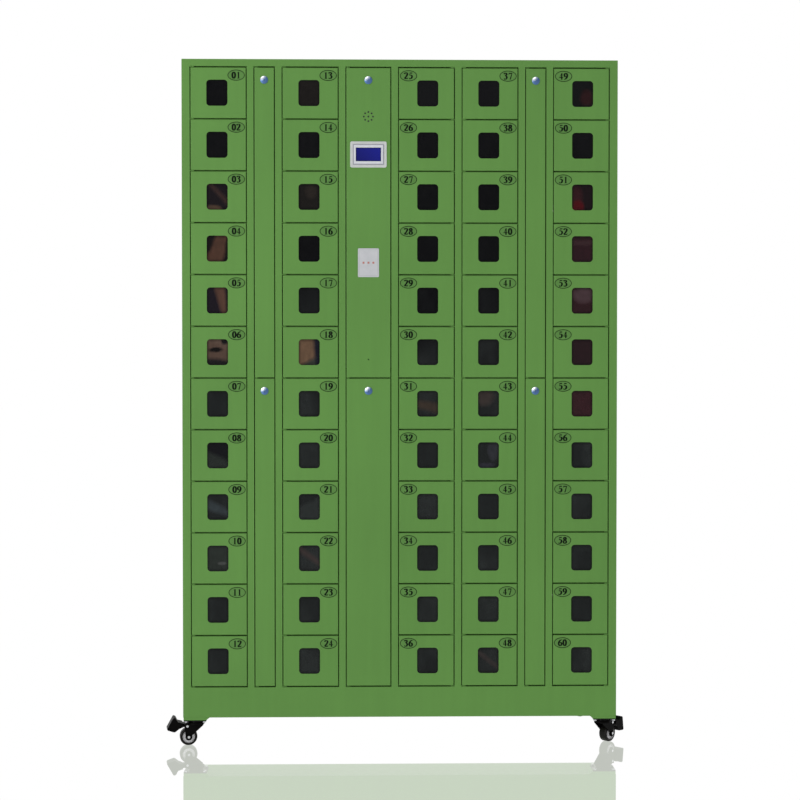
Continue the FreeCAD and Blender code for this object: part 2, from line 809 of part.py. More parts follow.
def service_leaf(label, bay, foot, fittings=False):
    width = BAY_WIDTH[BAY_KINDS[bay]] - GAP
    body, _ = leaf(label, width, SERVICE_HEIGHT)
    x = width / 2 - PIVOT_INSET
    holes = circle(front_opening(body), x, LOCK_RISE, BARREL_RADIUS + PIN_CLEARANCE)
    if fittings:
        top = SERVICE_HEIGHT + ROW_GAP / 2
        circle(holes, x, top - SPEAKER_DROP, SPEAKER_HOLE)
        for i in range(8):
            angle = math.radians(45 * i)
            circle(
                holes, x + SPEAKER_RING * math.cos(angle),
                top - SPEAKER_DROP + SPEAKER_RING * math.sin(angle), SPEAKER_HOLE,
            )
        circle(holes, x, top - INDICATOR_DROP, INDICATOR_RADIUS)
        rectangle(
            holes, x - BEZEL_WIDTH / 2 + 5, top - DISPLAY_DROP - BEZEL_HEIGHT / 2 + 5,
            x + BEZEL_WIDTH / 2 - 5, top - DISPLAY_DROP + BEZEL_HEIGHT / 2 - 5,
        )
    pocket(body, holes, SHEET)
    place(body, (pivot_x(bay), PIVOT_Y, foot))
    return node(label, body)


def cam_lock():
    """Round-headed cam lock. Its origin is on its axis, at the door's front face."""
    cam_y = STOP_SETBACK + SHEET + 1
    key_slot = box("key_slot", (-0.8, -LOCK_PROUD, -4), (1.6, 3, 8))
    head = doc.addObject("Part::MultiCommon", "lock_head")
    dome = doc.addObject("Part::Sphere", "lock_dome")
    bind(dome, "Radius", LOCK_DOME)
    place(dome, (0, LOCK_DOME - LOCK_PROUD, 0), ALONG_Y)
    head.Shapes = [
        cylinder("lock_head_disc", (0, -LOCK_PROUD, 0), LOCK_RADIUS, LOCK_PROUD, ALONG_Y), dome
    ]
    solid = fuse("cam_lock_solid", [
        head,
        cylinder("lock_barrel", (0, 0, 0), BARREL_RADIUS, cam_y, ALONG_Y),
        box("lock_cam", (-CAM_LENGTH, cam_y, -CAM_WIDTH / 2),
            (CAM_LENGTH + CAM_WIDTH / 2, CAM_THICKNESS, CAM_WIDTH)),
        hexagon("lock_nut", (0, SHEET, 0), LOCK_RADIUS, 4, ALONG_Y),
    ])
    return cut("cam_lock", solid, [key_slot])


CAM_LOCK = cam_lock()


def service_doors():
    for bay in SERVICE_BAYS:
        for level, foot in (("upper", MID_LINE + ROW_GAP / 2), ("lower", BOTTOM_LINE + ROW_GAP / 2)):
            name = f"{SERVICE_NAMES[bay]}_{level}_service"
            service_leaf(name + "_door", bay, foot, fittings=name == "centre_upper_service")
            x = gap_line(bay) + BAY_WIDTH[BAY_KINDS[bay]] / 2
            group_node(name + "_lock", [copy_at(CAM_LOCK, (x, FRONT, foot + LOCK_RISE))])


service_doors()


# ---------------------------------------------------------------- fittings of the centre door

PANEL_X = gap_line(3) + CENTRE / 2


def display():
    """Stepped bezel, with a collar through the door, round a graphic display module."""
    z = TOP_LINE - DISPLAY_DROP
    flange, rim, lip = 2, 4, 1.5
    collar = 10
    rim_inset = 9
    glass_margin = 4

    def slab(name, wide, high, front, back):
        return box(
            name, (PANEL_X - wide / 2, FRONT + front, z - high / 2), (wide, back - front, high)
        )

    rounded = doc.addObject("PartDesign::Body", "bezel_flange")
    half = BEZEL_WIDTH / 2
    half_high = BEZEL_HEIGHT / 2
    corner_radius = 5
    plate = pad(
        rounded, rectangle(sketch(rounded, "XZ_Plane"), -half, -half_high, half, half_high), flange
    )
    fillet(
        rounded, plate, corner_radius,
        lambda p: near(abs(p.x), half) and near(abs(p.z), half_high), along="y",
    )
    place(rounded, (PANEL_X, FRONT, z))
    solid = fuse("bezel_solid", [
        rounded,
        slab("bezel_rim", BEZEL_WIDTH - rim_inset * 2, BEZEL_HEIGHT - rim_inset * 2, -rim, 0),
        slab("bezel_collar", BEZEL_WIDTH - 10.4, BEZEL_HEIGHT - 10.4, 0, collar),
    ])
    glass = (SCREEN_WIDTH + glass_margin * 2, SCREEN_HEIGHT + glass_margin * 2)
    node("display_bezel", cut("display_bezel", solid, [
        slab("bezel_window", SCREEN_WIDTH, SCREEN_HEIGHT, -rim - 1, collar),
        slab("bezel_cavity", glass[0], glass[1], -rim + lip, collar + 1),
    ]))
    node("display_panel", slab("display_panel", glass[0], glass[1], -rim + lip, collar))


def card_reader():
    body = doc.addObject("PartDesign::Body", "card_reader")
    half = READER_WIDTH / 2
    corner_radius = 3
    high = READER_HEIGHT / 2
    plate = pad(body, rectangle(sketch(body, "XZ_Plane"), -half, -high, half, high), 1.6)
    fillet(
        body, plate, corner_radius, lambda p: near(abs(p.x), half) and near(abs(p.z), high),
        along="y",
    )
    place(body, (PANEL_X, FRONT, TOP_LINE - READER_DROP))
    node("card_reader", body)


def speaker():
    z = TOP_LINE - SPEAKER_DROP
    magnet = 5
    node("speaker", fuse("speaker", [
        cylinder("speaker_basket", (PANEL_X, FRONT + SHEET, z), SPEAKER_RADIUS, 6, ALONG_Y),
        cylinder("speaker_magnet", (PANEL_X, FRONT + SHEET, z), SPEAKER_RADIUS / 2,
                 6 + magnet, ALONG_Y),
    ]))


display()
card_reader()
speaker()


# ---------------------------------------------------------------- equipment in the centre bay

BAY_LEFT = opening(2)[1] + SHELF
BAY_RIGHT = opening(4)[0] - SHELF
BAY_MIDDLE = (BAY_LEFT + BAY_RIGHT) / 2
PLATE_Y = FRONT + PLATE_SETBACK
PLATE_LOW = BASE + 190
PLATE_HIGH = TOP - 90
BOARDS = 5
BOARD_RISE = 150


def equipment():
    node("equipment_plate", box(
        "equipment_plate", (BAY_LEFT, PLATE_Y, PLATE_LOW),
        (BAY_RIGHT - BAY_LEFT, PLATE_THICKNESS, PLATE_HIGH - PLATE_LOW),
    ))
    terminal = 14
    supply = fuse("power_supply", [
        box("supply_case", (-SUPPLY_WIDTH / 2, -SUPPLY_DEPTH, 0),
            (SUPPLY_WIDTH, SUPPLY_DEPTH, SUPPLY_HEIGHT)),
        box("supply_terminals", (-SUPPLY_WIDTH / 2 + 6, -SUPPLY_DEPTH + 12, -terminal),
            (SUPPLY_WIDTH - 12, terminal, terminal)),
    ])
    group_node("power_supplies", [
        copy_at(supply, (BAY_MIDDLE, PLATE_Y, PLATE_LOW + 60 + (SUPPLY_HEIGHT + 70) * i))
        for i in range(2)
    ])
    board = lock_driver_board()
    group_node("circuit_boards", [
        copy_at(board, (BAY_MIDDLE, PLATE_Y, MID_LINE + 40 + BOARD_RISE * i))
        for i in range(BOARDS)
    ])


def lock_driver_board():
    """One lock driver board: eight relays, two terminal strips and four standoffs."""
    face = -STANDOFF - BOARD_THICKNESS
    half = BOARD_WIDTH / 2
    inset = 5
    parts = [box("board", (-half, face, 0), (BOARD_WIDTH, BOARD_THICKNESS, BOARD_HEIGHT))]
    for i, (x, z) in enumerate([(-1, 0), (1, 0), (-1, 1), (1, 1)]):
        parts.append(cylinder(
            f"standoff_{i}",
            ((half - inset) * x, -STANDOFF, (BOARD_HEIGHT - inset * 2) * z + inset),
            2.5, STANDOFF, ALONG_Y,
        ))
    relay_wide, relay_tall, relay_deep = 15, 19, 15
    for i in range(8):
        x = -32 + 17 * (i % 4)
        z = 34 + 26 * (i // 4)
        parts.append(box(
            f"relay_{i}", (x, face - relay_deep, z), (relay_wide, relay_deep, relay_tall)
        ))
    for i, z in enumerate((12, 96)):
        parts.append(box(f"terminals_{i}", (-36, face - 10, z), (72, 10, 10)))
    return fuse("lock_driver_board", parts)


def trunking():
    wide, deep, wall = 24, 40, 1.5
    tall = PLATE_HIGH - MID_LINE - 60
    blank = box("trunk_blank", (0, 0, 0), (wide, deep, tall))
    inner = box("trunk_inner", (wall, wall, -1), (wide - wall * 2, deep - wall * 2, tall + 2))
    duct = cut("trunk", blank, [inner])
    group_node("cable_trunking", [
        copy_at(duct, (x, PLATE_Y - deep, MID_LINE + 30))
        for x in (BAY_LEFT + 8, BAY_RIGHT - 8 - wide)
    ])


def looms():
    """Bundled wiring that runs up each service bay behind the lock cases."""
    y = WALL_Y + LOCK_CASE_LENGTH + 20
    low, high = BOTTOM_LINE + 20, TOP_LINE - 20
    xs = [
        opening(0)[1] + SHELF + LOOM_RADIUS,
        BAY_LEFT + LOOM_RADIUS,
        BAY_RIGHT - LOOM_RADIUS,
        opening(5)[1] + SHELF + LOOM_RADIUS,
        opening(7)[0] - SHELF - LOOM_RADIUS,
    ]
    loom = cylinder("loom", (0, 0, 0), LOOM_RADIUS, high - low)
    group_node("wiring_looms", [copy_at(loom, (x, y, low)) for x in xs])


def power_inlet():
    """Mains inlet in the back panel: flange outside, recessed socket with three blades."""
    flange, proud, body_depth, recess = 5, 2.5, 30, 18
    half = INLET_WIDTH / 2
    low = -INLET_HEIGHT / 2
    solid = fuse("inlet_solid", [
        box("inlet_flange", (-half - flange, 0, low - flange),
            (INLET_WIDTH + flange * 2, proud, INLET_HEIGHT + flange * 2)),
        box("inlet_body", (-half, -body_depth, low), (INLET_WIDTH, body_depth, INLET_HEIGHT)),
    ])
    socket = box(
        "inlet_socket", (-12, proud - recess, -8), (24, recess + 1, 16)
    )
    blades = [
        box(f"inlet_blade_{i}", (x - 1, proud - recess - 1, z - 2.5), (2, recess - 2, 5))
        for i, (x, z) in enumerate([(-7, -2), (0, 3), (7, -2)])
    ]
    made = fuse("power_inlet", [cut("inlet_shell", solid, [socket])] + blades)
    place(made, (INLET_X, BACK, INLET_Z + INLET_HEIGHT / 2))
    node("power_inlet", made)


equipment()
trunking()
looms()
power_inlet()


# ---------------------------------------------------------------- casters

CASTER_X = WIDTH / 2 - PAD_INSET - PLATE_SIZE / 2
CASTER_Y = DEPTH / 2 - PAD_INSET - PLATE_SIZE / 2
BOLT_RING = [(sx, sy) for sx in (-1, 1) for sy in (-1, 1)]
# name, side in X, side in Y, heading of the wheel's trail and angle of the brake pedal in
# degrees. The pedal is raised at 0 and pressed at 22. The rear casters have no brake.
CASTERS = [
    ("front_left_caster", -1, -1, 190, 0),
    ("front_right_caster", 1, -1, 46, 22),
    ("rear_left_caster", -1, 1, 60, None),
    ("rear_right_caster", 1, 1, 145, None),
]


def flared_block(half, height):
    """A square block whose two inner sides slope out, up to the cabinet, at the front left corner."""
    made = doc.addObject("Part::Wedge", "pad_blank")
    for prop, dim in (
        ("Xmin", -half), ("Xmax", half), ("Zmin", -half), ("Zmax", half),
        ("X2min", -half), ("X2max", half + PAD_FLARE), ("Z2min", -half - PAD_FLARE), ("Z2max", half),
        ("Ymin", as_dim(0)), ("Ymax", height),
    ):
        bind(made, prop, dim)
    return place(made, (0, 0, CASTER_HEIGHT), UPRIGHT)


def corner_turn(sx, sy):
    """The turn about Z that carries a piece of the front left corner to another corner."""
    from_x = math.degrees(math.atan2(sy, sx))
    return FreeCAD.Rotation(FreeCAD.Vector(0, 0, 1), from_x + 135)


def caster_seats():
    """Pads under the cabinet, the casters' top plates, and the bolts that join them."""
    half = PLATE_SIZE / 2
    pad_height = BASE - CASTER_HEIGHT
    spread = BOLT_SPACING / 2
    bolt_hole = cylinder("bolt_hole_tool", (0, 0, CROWN_BOTTOM), BOLT_RADIUS + 0.1, BASE)
    holes = [copy_at(bolt_hole, (spread * sx, spread * sy, 0)) for sx, sy in BOLT_RING]
    seat = cut("caster_pad", flared_block(half, pad_height), holes)
    plate_low = CASTER_HEIGHT - TOP_PLATE
    race_low = CROWN_TOP + SWIVEL_GAP
    rivet_high = CROWN_BOTTOM - SWIVEL_GAP
    rivet_thickness = 4
    solid = fuse("top_plate_solid", [
        box("top_plate_blank", (-half, -half, plate_low), (PLATE_SIZE, PLATE_SIZE, TOP_PLATE)),
        cylinder("upper_race", (0, 0, race_low), RACE_RADIUS, plate_low - race_low),
        cylinder("kingpin", (0, 0, rivet_high), KINGPIN_RADIUS, plate_low - rivet_high),
        cylinder("rivet_head", (0, 0, rivet_high - rivet_thickness), KINGPIN_RADIUS + 4,
                 rivet_thickness),
    ])
    plate = cut("caster_top_plate", solid, holes)
    head = 4
    shank = TOP_PLATE + pad_height - 1
    bolt = fuse("caster_bolt", [
        hexagon("bolt_head", (0, 0, plate_low - head), BOLT_RADIUS + 2.5, head),
        cylinder("bolt_shank", (0, 0, plate_low), BOLT_RADIUS, shank),
    ])
    corners = [(sx, sy) for _, sx, sy, _, _ in CASTERS]
    centres = [(CASTER_X * sx, CASTER_Y * sy, 0) for sx, sy in corners]
    group_node("caster_pads", [
        copy_at(seat, centre, corner_turn(*corner)) for corner, centre in zip(corners, centres)
    ])
    group_node("caster_top_plates", [copy_at(plate, centre) for centre in centres])
    group_node("caster_bolts", [
        copy_at(bolt, (x + spread * sx, y + spread * sy, 0))
        for x, y, _ in centres
        for sx, sy in BOLT_RING
    ])


def fork_body():
    """Crown and two legs. The origin is on the swivel axis at the floor, the wheel towards +X."""
    body = doc.addObject("PartDesign::Body", "caster_fork")
    crown = pad(
        body, circle(sketch(body, "XY_Plane", CROWN_BOTTOM), 0, 0, CROWN_RADIUS),
        CROWN_TOP - CROWN_BOTTOM,
    )
    fillet(body, crown, 3, lambda p: near(p.z, CROWN_TOP))
    boss = 10
    knee = WHEEL_RADIUS + 4
    for low in (-LEG_INSIDE - LEG_SHEET, LEG_INSIDE):
        lift = -(low + LEG_SHEET)
        plate = outline(sketch(body, "XZ_Plane", lift), [
            (-20, CROWN_TOP - 4), (TRAIL + 12, CROWN_TOP - 4), (TRAIL + boss - 0.8, knee),
            (TRAIL - boss + 0.8, knee), (-20, CROWN_BOTTOM - 2),
        ])
        pad(body, plate, LEG_SHEET)
        round_end = circle(sketch(body, "XZ_Plane", lift), TRAIL, WHEEL_RADIUS, boss)
        pad(body, round_end, LEG_SHEET)
    bore = circle(sketch(body, "XY_Plane", CROWN_TOP), 0, 0, KINGPIN_RADIUS + PIN_CLEARANCE)
    pocket(body, bore, CROWN_TOP - CROWN_BOTTOM)
    reach = LEG_INSIDE + LEG_SHEET + 1
    cross_holes = sketch(body, "XZ_Plane", reach)
    circle(cross_holes, TRAIL, WHEEL_RADIUS, AXLE_RADIUS + PIN_CLEARANCE)
    circle(cross_holes, PEDAL_PIVOT, PEDAL_PIVOT_HEIGHT, PEDAL_PIN + PIN_CLEARANCE)
    pocket(body, cross_holes, reach * 2)
    return body


def axle():
    face = LEG_INSIDE + LEG_SHEET
    head = 4
    across = 7
    return fuse("caster_axle", [
        cylinder("axle_shank", (TRAIL, -face - head, WHEEL_RADIUS), AXLE_RADIUS,
                 (face + head) * 2, ALONG_Y),
        hexagon("axle_head", (TRAIL, -face - head, WHEEL_RADIUS), across, head, ALONG_Y),
        hexagon("axle_nut", (TRAIL, face, WHEEL_RADIUS), across, head - 1, ALONG_Y),
    ])


def wheel_body():
    """Moulded wheel, turned about its own Z."""
    body = doc.addObject("PartDesign::Body", "caster_wheel")
    bore = AXLE_RADIUS + PIN_CLEARANCE
    hub, web, rim = 13, 8, 12
    crest = WHEEL_RADIUS
    half = [
        (bore, hub), (bore + 5, hub), (bore + 5.5, web), (crest - 9, web), (crest - 8, rim),
        (crest - 3, rim), (crest - 0.8, rim - 1.2), (crest, rim - 3.5),
    ]
    profile = sketch(body, "XZ_Plane")
    outline(profile, [(r, -h) for r, h in half] + [(r, h) for r, h in reversed(half)])
    turned = body.newObject("PartDesign::Revolution", "turned")
    turned.Profile = profile
    turned.ReferenceAxis = (profile, ["V_Axis"])
    turned.Angle = 360
    return body


def pedal_body():
    """Brake pedal: an arm between the fork legs, a broad foot outside them, and its riveted pin."""
    body = doc.addObject("PartDesign::Body", "brake_pedal")
    arm_half = LEG_INSIDE - 1
    foot_half = 19
    arm = outline(sketch(body, "XZ_Plane", -arm_half), [
        (22.5, 51.5), (34, 53.5), (44, 52.5), (44, 65), (34, 63), (28, 60.5), (24.5, 59.2),
        (22.5, 58),
    ])
    pad(body, arm, arm_half * 2)
    foot = outline(sketch(body, "XZ_Plane", -foot_half), [
        (39, 54), (50, 49.5), (60, 41.5), (64, 40.5), (82, 46.5), (84, 50), (66.5, 81.5), (63, 82.5),
        (58.5, 80), (53, 69.5), (39, 65.5),
    ])
    pad(body, foot, foot_half * 2)
    reach = LEG_INSIDE + LEG_SHEET
    pin = circle(sketch(body, "XZ_Plane", -reach), PEDAL_PIVOT, PEDAL_PIVOT_HEIGHT, PEDAL_PIN)
    pad(body, pin, reach * 2)
    head = 1.5
    for lift in (-reach - head, reach):
        rivet = circle(sketch(body, "XZ_Plane", lift), PEDAL_PIVOT, PEDAL_PIVOT_HEIGHT, 4)
        pad(body, rivet, head)
    return body


def pressed(centre, heading, angle):
    """Place and turn of a caster's pedal, turned down about its pivot by an angle in degrees."""
    c, s = math.cos(math.radians(angle)), math.sin(math.radians(angle))
    along = PEDAL_PIVOT * (1 - c) - PEDAL_PIVOT_HEIGHT * s
    up = PEDAL_PIVOT_HEIGHT * (1 - c) + PEDAL_PIVOT * s
    ahead = math.radians(heading)
    base = (centre[0] + along * math.cos(ahead), centre[1] + along * math.sin(ahead), up)
    down = FreeCAD.Rotation(FreeCAD.Vector(0, 1, 0), angle)
    return base, FreeCAD.Rotation(FreeCAD.Vector(0, 0, 1), heading).multiply(down)


def casters():
    fork, bolt, wheel, pedal = fork_body(), axle(), wheel_body(), pedal_body()
    for name, sx, sy, heading, brake in CASTERS:
        turn = FreeCAD.Rotation(FreeCAD.Vector(0, 0, 1), heading)
        centre = (CASTER_X * sx, CASTER_Y * sy, 0)
        group_node(name + "_fork", [copy_at(fork, centre, turn), copy_at(bolt, centre, turn)])
        angle = math.radians(heading)
        hub = (
            centre[0] + TRAIL * math.cos(angle), centre[1] + TRAIL * math.sin(angle), WHEEL_RADIUS
        )
        group_node(name + "_wheel", [copy_at(wheel, hub, turn.multiply(ALONG_Y))])
        if brake is not None:
            group_node(name + "_pedal", [copy_at(pedal, *pressed(centre, heading, brake))])


caster_seats()
casters()


# ---------------------------------------------------------------- check and write

doc.recompute()
failed = [o.Name for o in doc.Objects if set(o.State) & {"Invalid", "Error"}]
if failed:
    raise SystemExit(f"objects failed to recompute: {failed}")
for part in nodes:
    if part.Shape.isNull() or not part.Shape.isValid() or not part.Shape.Solids:
        raise SystemExit(f"{part.Label} has no valid solid")

os.makedirs("parts", exist_ok=True)
for old in os.listdir("parts"):
    if old.endswith(".step"):
        os.remove(os.path.join("parts", old))
for part in nodes:
    part.Shape.exportStep(os.path.join("parts", part.Label + ".step"))
print(len(nodes), "sub-parts written")
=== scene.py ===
"""Looks of the phone charging kiosk: materials, number badges, leads, studio and camera.

Metres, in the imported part's own frame: +X right, +Y back, +Z up, origin on the floor.
"""

import json
import math
from collections import defaultdict

import bmesh
import bpy
from mathutils import Matrix, Vector


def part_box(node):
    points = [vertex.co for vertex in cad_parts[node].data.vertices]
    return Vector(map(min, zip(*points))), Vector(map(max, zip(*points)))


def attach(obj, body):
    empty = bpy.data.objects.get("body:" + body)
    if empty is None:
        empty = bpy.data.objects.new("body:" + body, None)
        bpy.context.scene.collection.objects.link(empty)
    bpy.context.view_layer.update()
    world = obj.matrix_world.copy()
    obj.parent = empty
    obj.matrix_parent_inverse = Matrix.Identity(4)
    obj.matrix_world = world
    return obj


MM = 0.001
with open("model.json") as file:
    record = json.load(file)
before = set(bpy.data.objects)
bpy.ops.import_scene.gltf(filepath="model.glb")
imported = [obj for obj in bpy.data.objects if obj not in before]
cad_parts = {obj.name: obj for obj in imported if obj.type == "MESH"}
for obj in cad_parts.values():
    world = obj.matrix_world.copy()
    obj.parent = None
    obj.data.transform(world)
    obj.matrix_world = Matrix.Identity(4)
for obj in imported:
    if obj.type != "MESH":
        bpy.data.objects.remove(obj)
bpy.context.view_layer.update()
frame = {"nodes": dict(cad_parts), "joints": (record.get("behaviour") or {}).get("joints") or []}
scene = bpy.context.scene
scene.view_settings.view_transform = "Standard"

ROWS = 12
GAP = 3.6 * MM
DOOR_19_ROW = 6  # counted from the top, from 0
COLUMNS = (1, 2, 3, 4, 5)
LEFT_LATCHED = (3, 5)  # columns whose doors are held on their left side
DOORS = {column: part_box(f"column_{column}_doors") for column in COLUMNS}


def row_pitch(column):
    """Height from one door of a column to the next."""
    low, high = DOORS[column]
    return (high.z - low.z + GAP) / ROWS


# ---------------------------------------------------------------- node material helpers


class Tree:
    """A small builder for a material's or the world's node tree."""

    def __init__(self, owner):
        owner.use_nodes = True
        self.tree = owner.node_tree
        self.tree.nodes.clear()
        self.place = None
        self.fades = False

    def node(self, kind, inputs=None, **settings):
        made = self.tree.nodes.new(kind)
        for name, value in settings.items():
            setattr(made, name, value)
        for name, value in (inputs or {}).items():
            self.feed(made, name, value)
        return made

    def feed(self, node, name, value):
        socket = node.inputs[name]
        if isinstance(value, bpy.types.NodeSocket):
            self.tree.links.new(value, socket)
        else:
            socket.default_value = value

    def position(self):
        """The point's place on the object, in metres, which moves with the object."""
        if self.place is None:
            self.place = self.node("ShaderNodeTexCoord").outputs["Object"]
        return self.place

    def scaled(self, x, y, z):
        made = self.node("ShaderNodeMapping", {"Vector": self.position()})
        made.inputs["Scale"].default_value = (x, y, z)
        return made.outputs["Vector"]

    def noise(self, scale, detail=3, vector=None, rough=0.5):
        return self.node(
            "ShaderNodeTexNoise",
            {
                "Vector": vector or self.position(), "Scale": scale,
                "Detail": detail, "Roughness": rough,
            },
        ).outputs["Fac"]

    def ramp(self, fac, low, high, start=0.3, end=0.7):
        made = self.node("ShaderNodeMapRange", {
            "Value": fac, "From Min": start, "From Max": end, "To Min": low, "To Max": high,
        })
        return made.outputs["Result"]

    def mix(self, fac, a, b):
        made = self.node("ShaderNodeMix", data_type="RGBA")
        self.feed(made, 0, fac)
        self.feed(made, 6, a)
        self.feed(made, 7, b)
        return made.outputs[2]

    def math(self, operation, a, b=0.0):
        made = self.node("ShaderNodeMath", operation=operation)
        self.feed(made, 0, a)
        self.feed(made, 1, b)
        return made.outputs[0]

    def bump(self, height, strength, distance):
        return self.node("ShaderNodeBump", {
            "Height": height, "Strength": strength, "Distance": distance,
        }).outputs["Normal"]

    def blend_shaders(self, fac, first, second):
        made = self.node("ShaderNodeMixShader", {"Fac": fac})
        self.tree.links.new(first, made.inputs[1])
        self.tree.links.new(second, made.inputs[2])
        return made.outputs[0]

    def surface(self, shader):
        kind = "ShaderNodeOutputWorld" if self.is_world() else "ShaderNodeOutputMaterial"
        if self.fades:
            shader = faded_in_floor(self, shader)
        self.node(kind, {"Surface": shader})

    def is_world(self):
        return any(w.node_tree == self.tree for w in bpy.data.worlds)


def rgb(r, g, b):
    """A display colour of 0 to 255 as a linear colour."""
    out = []
    for v in (r, g, b):
        v = v / 255.0
        out.append(v / 12.92 if v <= 0.04045 else ((v + 0.055) / 1.055) ** 2.4)
    return (*out, 1.0)


def shade(colour, factor):
    return (*(min(1.0, c * factor) for c in colour[:3]), 1.0)


def material(name, fades=False):
    made = bpy.data.materials.new(name)
    t = Tree(made)
    t.fades = fades
    return made, t


WHITE = (1, 1, 1, 1)
FADE_LINE = -67 * MM  # how far back the floor still mirrors the underside
PATCH = 0.05  # how far the paint's tone drifts either way
STREAK = 0.02  # and how far its streaks do
BRUSH = (1.0, 1.0, 30.0)  # the brushed lines' squeeze along each axis
BRUSH_ROUGH = 0.06


def faded_in_floor(t, shader):
    """What the polished floor mirrors of the underside goes white behind the front casters."""
    place = t.node("ShaderNodeSeparateXYZ", {"Vector": t.position()})
    behind = t.ramp(place.outputs["Y"], 0.0, 1.0, FADE_LINE - MM, FADE_LINE + MM)
    mirrored = t.node("ShaderNodeLightPath").outputs["Is Glossy Ray"]
    white = t.node("ShaderNodeEmission", {"Color": WHITE}).outputs[0]
    return t.blend_shaders(t.math("MULTIPLY", behind, mirrored), shader, white)


def principled(t, **values):
    names = {
        "base": "Base Color", "rough": "Roughness", "metal": "Metallic", "normal": "Normal",
        "specular": "Specular IOR Level", "alpha": "Alpha",
        "emission": "Emission Color", "emission_strength": "Emission Strength",
    }
    made = t.node("ShaderNodeBsdfPrincipled", {names[k]: v for k, v in values.items()})
    t.surface(made.outputs["BSDF"])


def paint(name, colour, rough=0.42, fades=False):
    """Powder coat: broad tone patches, faint vertical streaks and a fine orange-peel texture."""
    made, t = material(name, fades)
    patches = t.noise(2.2, 4)
    streaks = t.noise(9, 2, t.scaled(6, 6, 0.35))
    tone = t.math("ADD", t.ramp(patches, -PATCH, PATCH), t.ramp(streaks, -STREAK, STREAK))
    lit = t.node("ShaderNodeHueSaturation", {
        "Color": colour, "Value": t.math("ADD", tone, 1.0),
    }).outputs["Color"]
    peel = t.noise(900, 2)
    principled(
        t, base=lit, rough=t.ramp(t.noise(60, 3), rough - 0.05, rough + 0.06), specular=0.2,
        normal=t.bump(peel, 0.16, 0.00012),
    )
    return made


def plastic(name, colour, rough, grain=1400, depth=0.12, specular=0.5, fades=False):
    """Moulded plastic or smooth enamel: faintly mottled, with a fine grain."""
    made, t = material(name, fades)
    mottled = t.mix(t.ramp(t.noise(35, 4), 0.0, 1.0), shade(colour, 0.93), shade(colour, 1.06))
    principled(
        t, base=mottled, rough=t.ramp(t.noise(120, 3), rough - 0.04, rough + 0.05),
        specular=specular, normal=t.bump(t.noise(grain, 2), depth, 0.00008),
    )
    return made


def metal(name, colour, rough, fades=False):
    """Plated steel with fine brushed lines."""
    made, t = material(name, fades)
    lines = t.noise(45, 4, t.scaled(*BRUSH))
    principled(
        t, base=t.mix(t.ramp(lines, 0, 1), shade(colour, 0.92), shade(colour, 1.05)), metal=1.0,
        rough=t.ramp(lines, rough - BRUSH_ROUGH, rough + BRUSH_ROUGH),
        normal=t.bump(lines, 0.05, 0.0001),
    )
    return made


GREEN = rgb(99, 147, 71)
CABINET = paint("cabinet_paint", GREEN)
DOOR = paint("door_paint", shade(GREEN, 1.01))
# the cabinet's green made darker for the parts inside: painted shade
INNER_SHADED = paint("inner_paint", shade(GREEN, 0.85), rough=0.5)
UNDERSIDE = paint("underside_paint", GREEN, fades=True)
ZINC_GREY = (0.62, 0.63, 0.65, 1)
ZINC = metal("zinc_plate", ZINC_GREY, 0.34)
BOLT_ZINC = metal("bolt_zinc", ZINC_GREY, 0.34, fades=True)
CASTER_BLACK = rgb(9, 8, 8)
PIN_STEEL = (0.66, 0.67, 0.68, 1)
BLACK = plastic("black_plastic", rgb(30, 30, 31), 0.45)
GREY = plastic("grey_plastic", rgb(198, 199, 203), 0.4)
GLOSS_BLACK = plastic(
    "gloss_black", CASTER_BLACK, 0.2, grain=300, depth=0.25, specular=0.12, fades=True
)
INK = plastic("badge_ink", rgb(8, 20, 6), 0.6, specular=0.1)


LOCK_HIGHLIGHT_FACING = (-0.27, -0.87, 0.41)  # where the lock heads' painted highlight faces, and where their painted reflection is palest
# the lock heads' painted reflection: dark blue, going pale towards the painted highlight
LOCK_PAINTED_DARK_REFLECTION = (0.10, 0.19, 0.40, 1)
LOCK_PAINTED_SKY_REFLECTION = (0.78, 0.84, 0.92, 1)


def lock_chrome():
    """Domed lock heads: a cool polished face with a painted reflection, pale on its upper left
    and dark blue lower right, and a painted glowing highlight on its upper left.
    """
    made, t = material("lock_chrome")
    facing = t.node("ShaderNodeNewGeometry").outputs["Normal"]
    up_left = t.node(
        "ShaderNodeVectorMath", {0: facing, 1: LOCK_HIGHLIGHT_FACING}, operation="DOT_PRODUCT"
    ).outputs["Value"]
    # painted reflection, dark blue on the lower right and pale on the upper left, by which way
    # the face points
    base = t.mix(t.ramp(up_left, 0.0, 1.0, 0.86, 0.98), LOCK_PAINTED_DARK_REFLECTION, LOCK_PAINTED_SKY_REFLECTION)
    # a painted highlight that glows on the upper left
    painted_glint = t.ramp(up_left, 0.0, 0.9, 0.95, 0.985)
    scuffs = t.noise(300, 3)
    principled(
        t, base=base, metal=1.0, rough=t.ramp(scuffs, 0.42, 0.5), emission=WHITE,
        emission_strength=painted_glint, normal=t.bump(scuffs, 0.05, 0.0001),
    )
    return made


def axis_distance(t, joint):
    """Distance of a point from the axis of a joint, in metres."""
    found = next(j for j in frame["joints"] if j["name"] == joint)
    arm = t.node(
        "ShaderNodeVectorMath", {0: t.position(), 1: found["pos_m"]}, operation="SUBTRACT"
    )
    across = t.node(
        "ShaderNodeVectorMath", {0: arm.outputs["Vector"], 1: found["axis"]},
        operation="CROSS_PRODUCT",
    )
    length = t.node("ShaderNodeVectorMath", {0: across.outputs["Vector"]}, operation="LENGTH")
    return length.outputs["Value"]


def within(t, distance, radius):
    """1 inside a radius, 0 outside it, with an edge of half a millimetre."""
    return t.ramp(distance, 1.0, 0.0, radius - 0.25 * MM, radius + 0.25 * MM)


HUB_RADIUS = 17.3 * MM  # of the pale part of a wheel
AXLE_HEAD = 3.6 * MM  # radius of the bright pin head in a fork
BRAKE_HEAD = 3.4 * MM  # and of the one in a pedal
SOLE_RIBS = 4 * MM  # from one rib of a pedal to the next


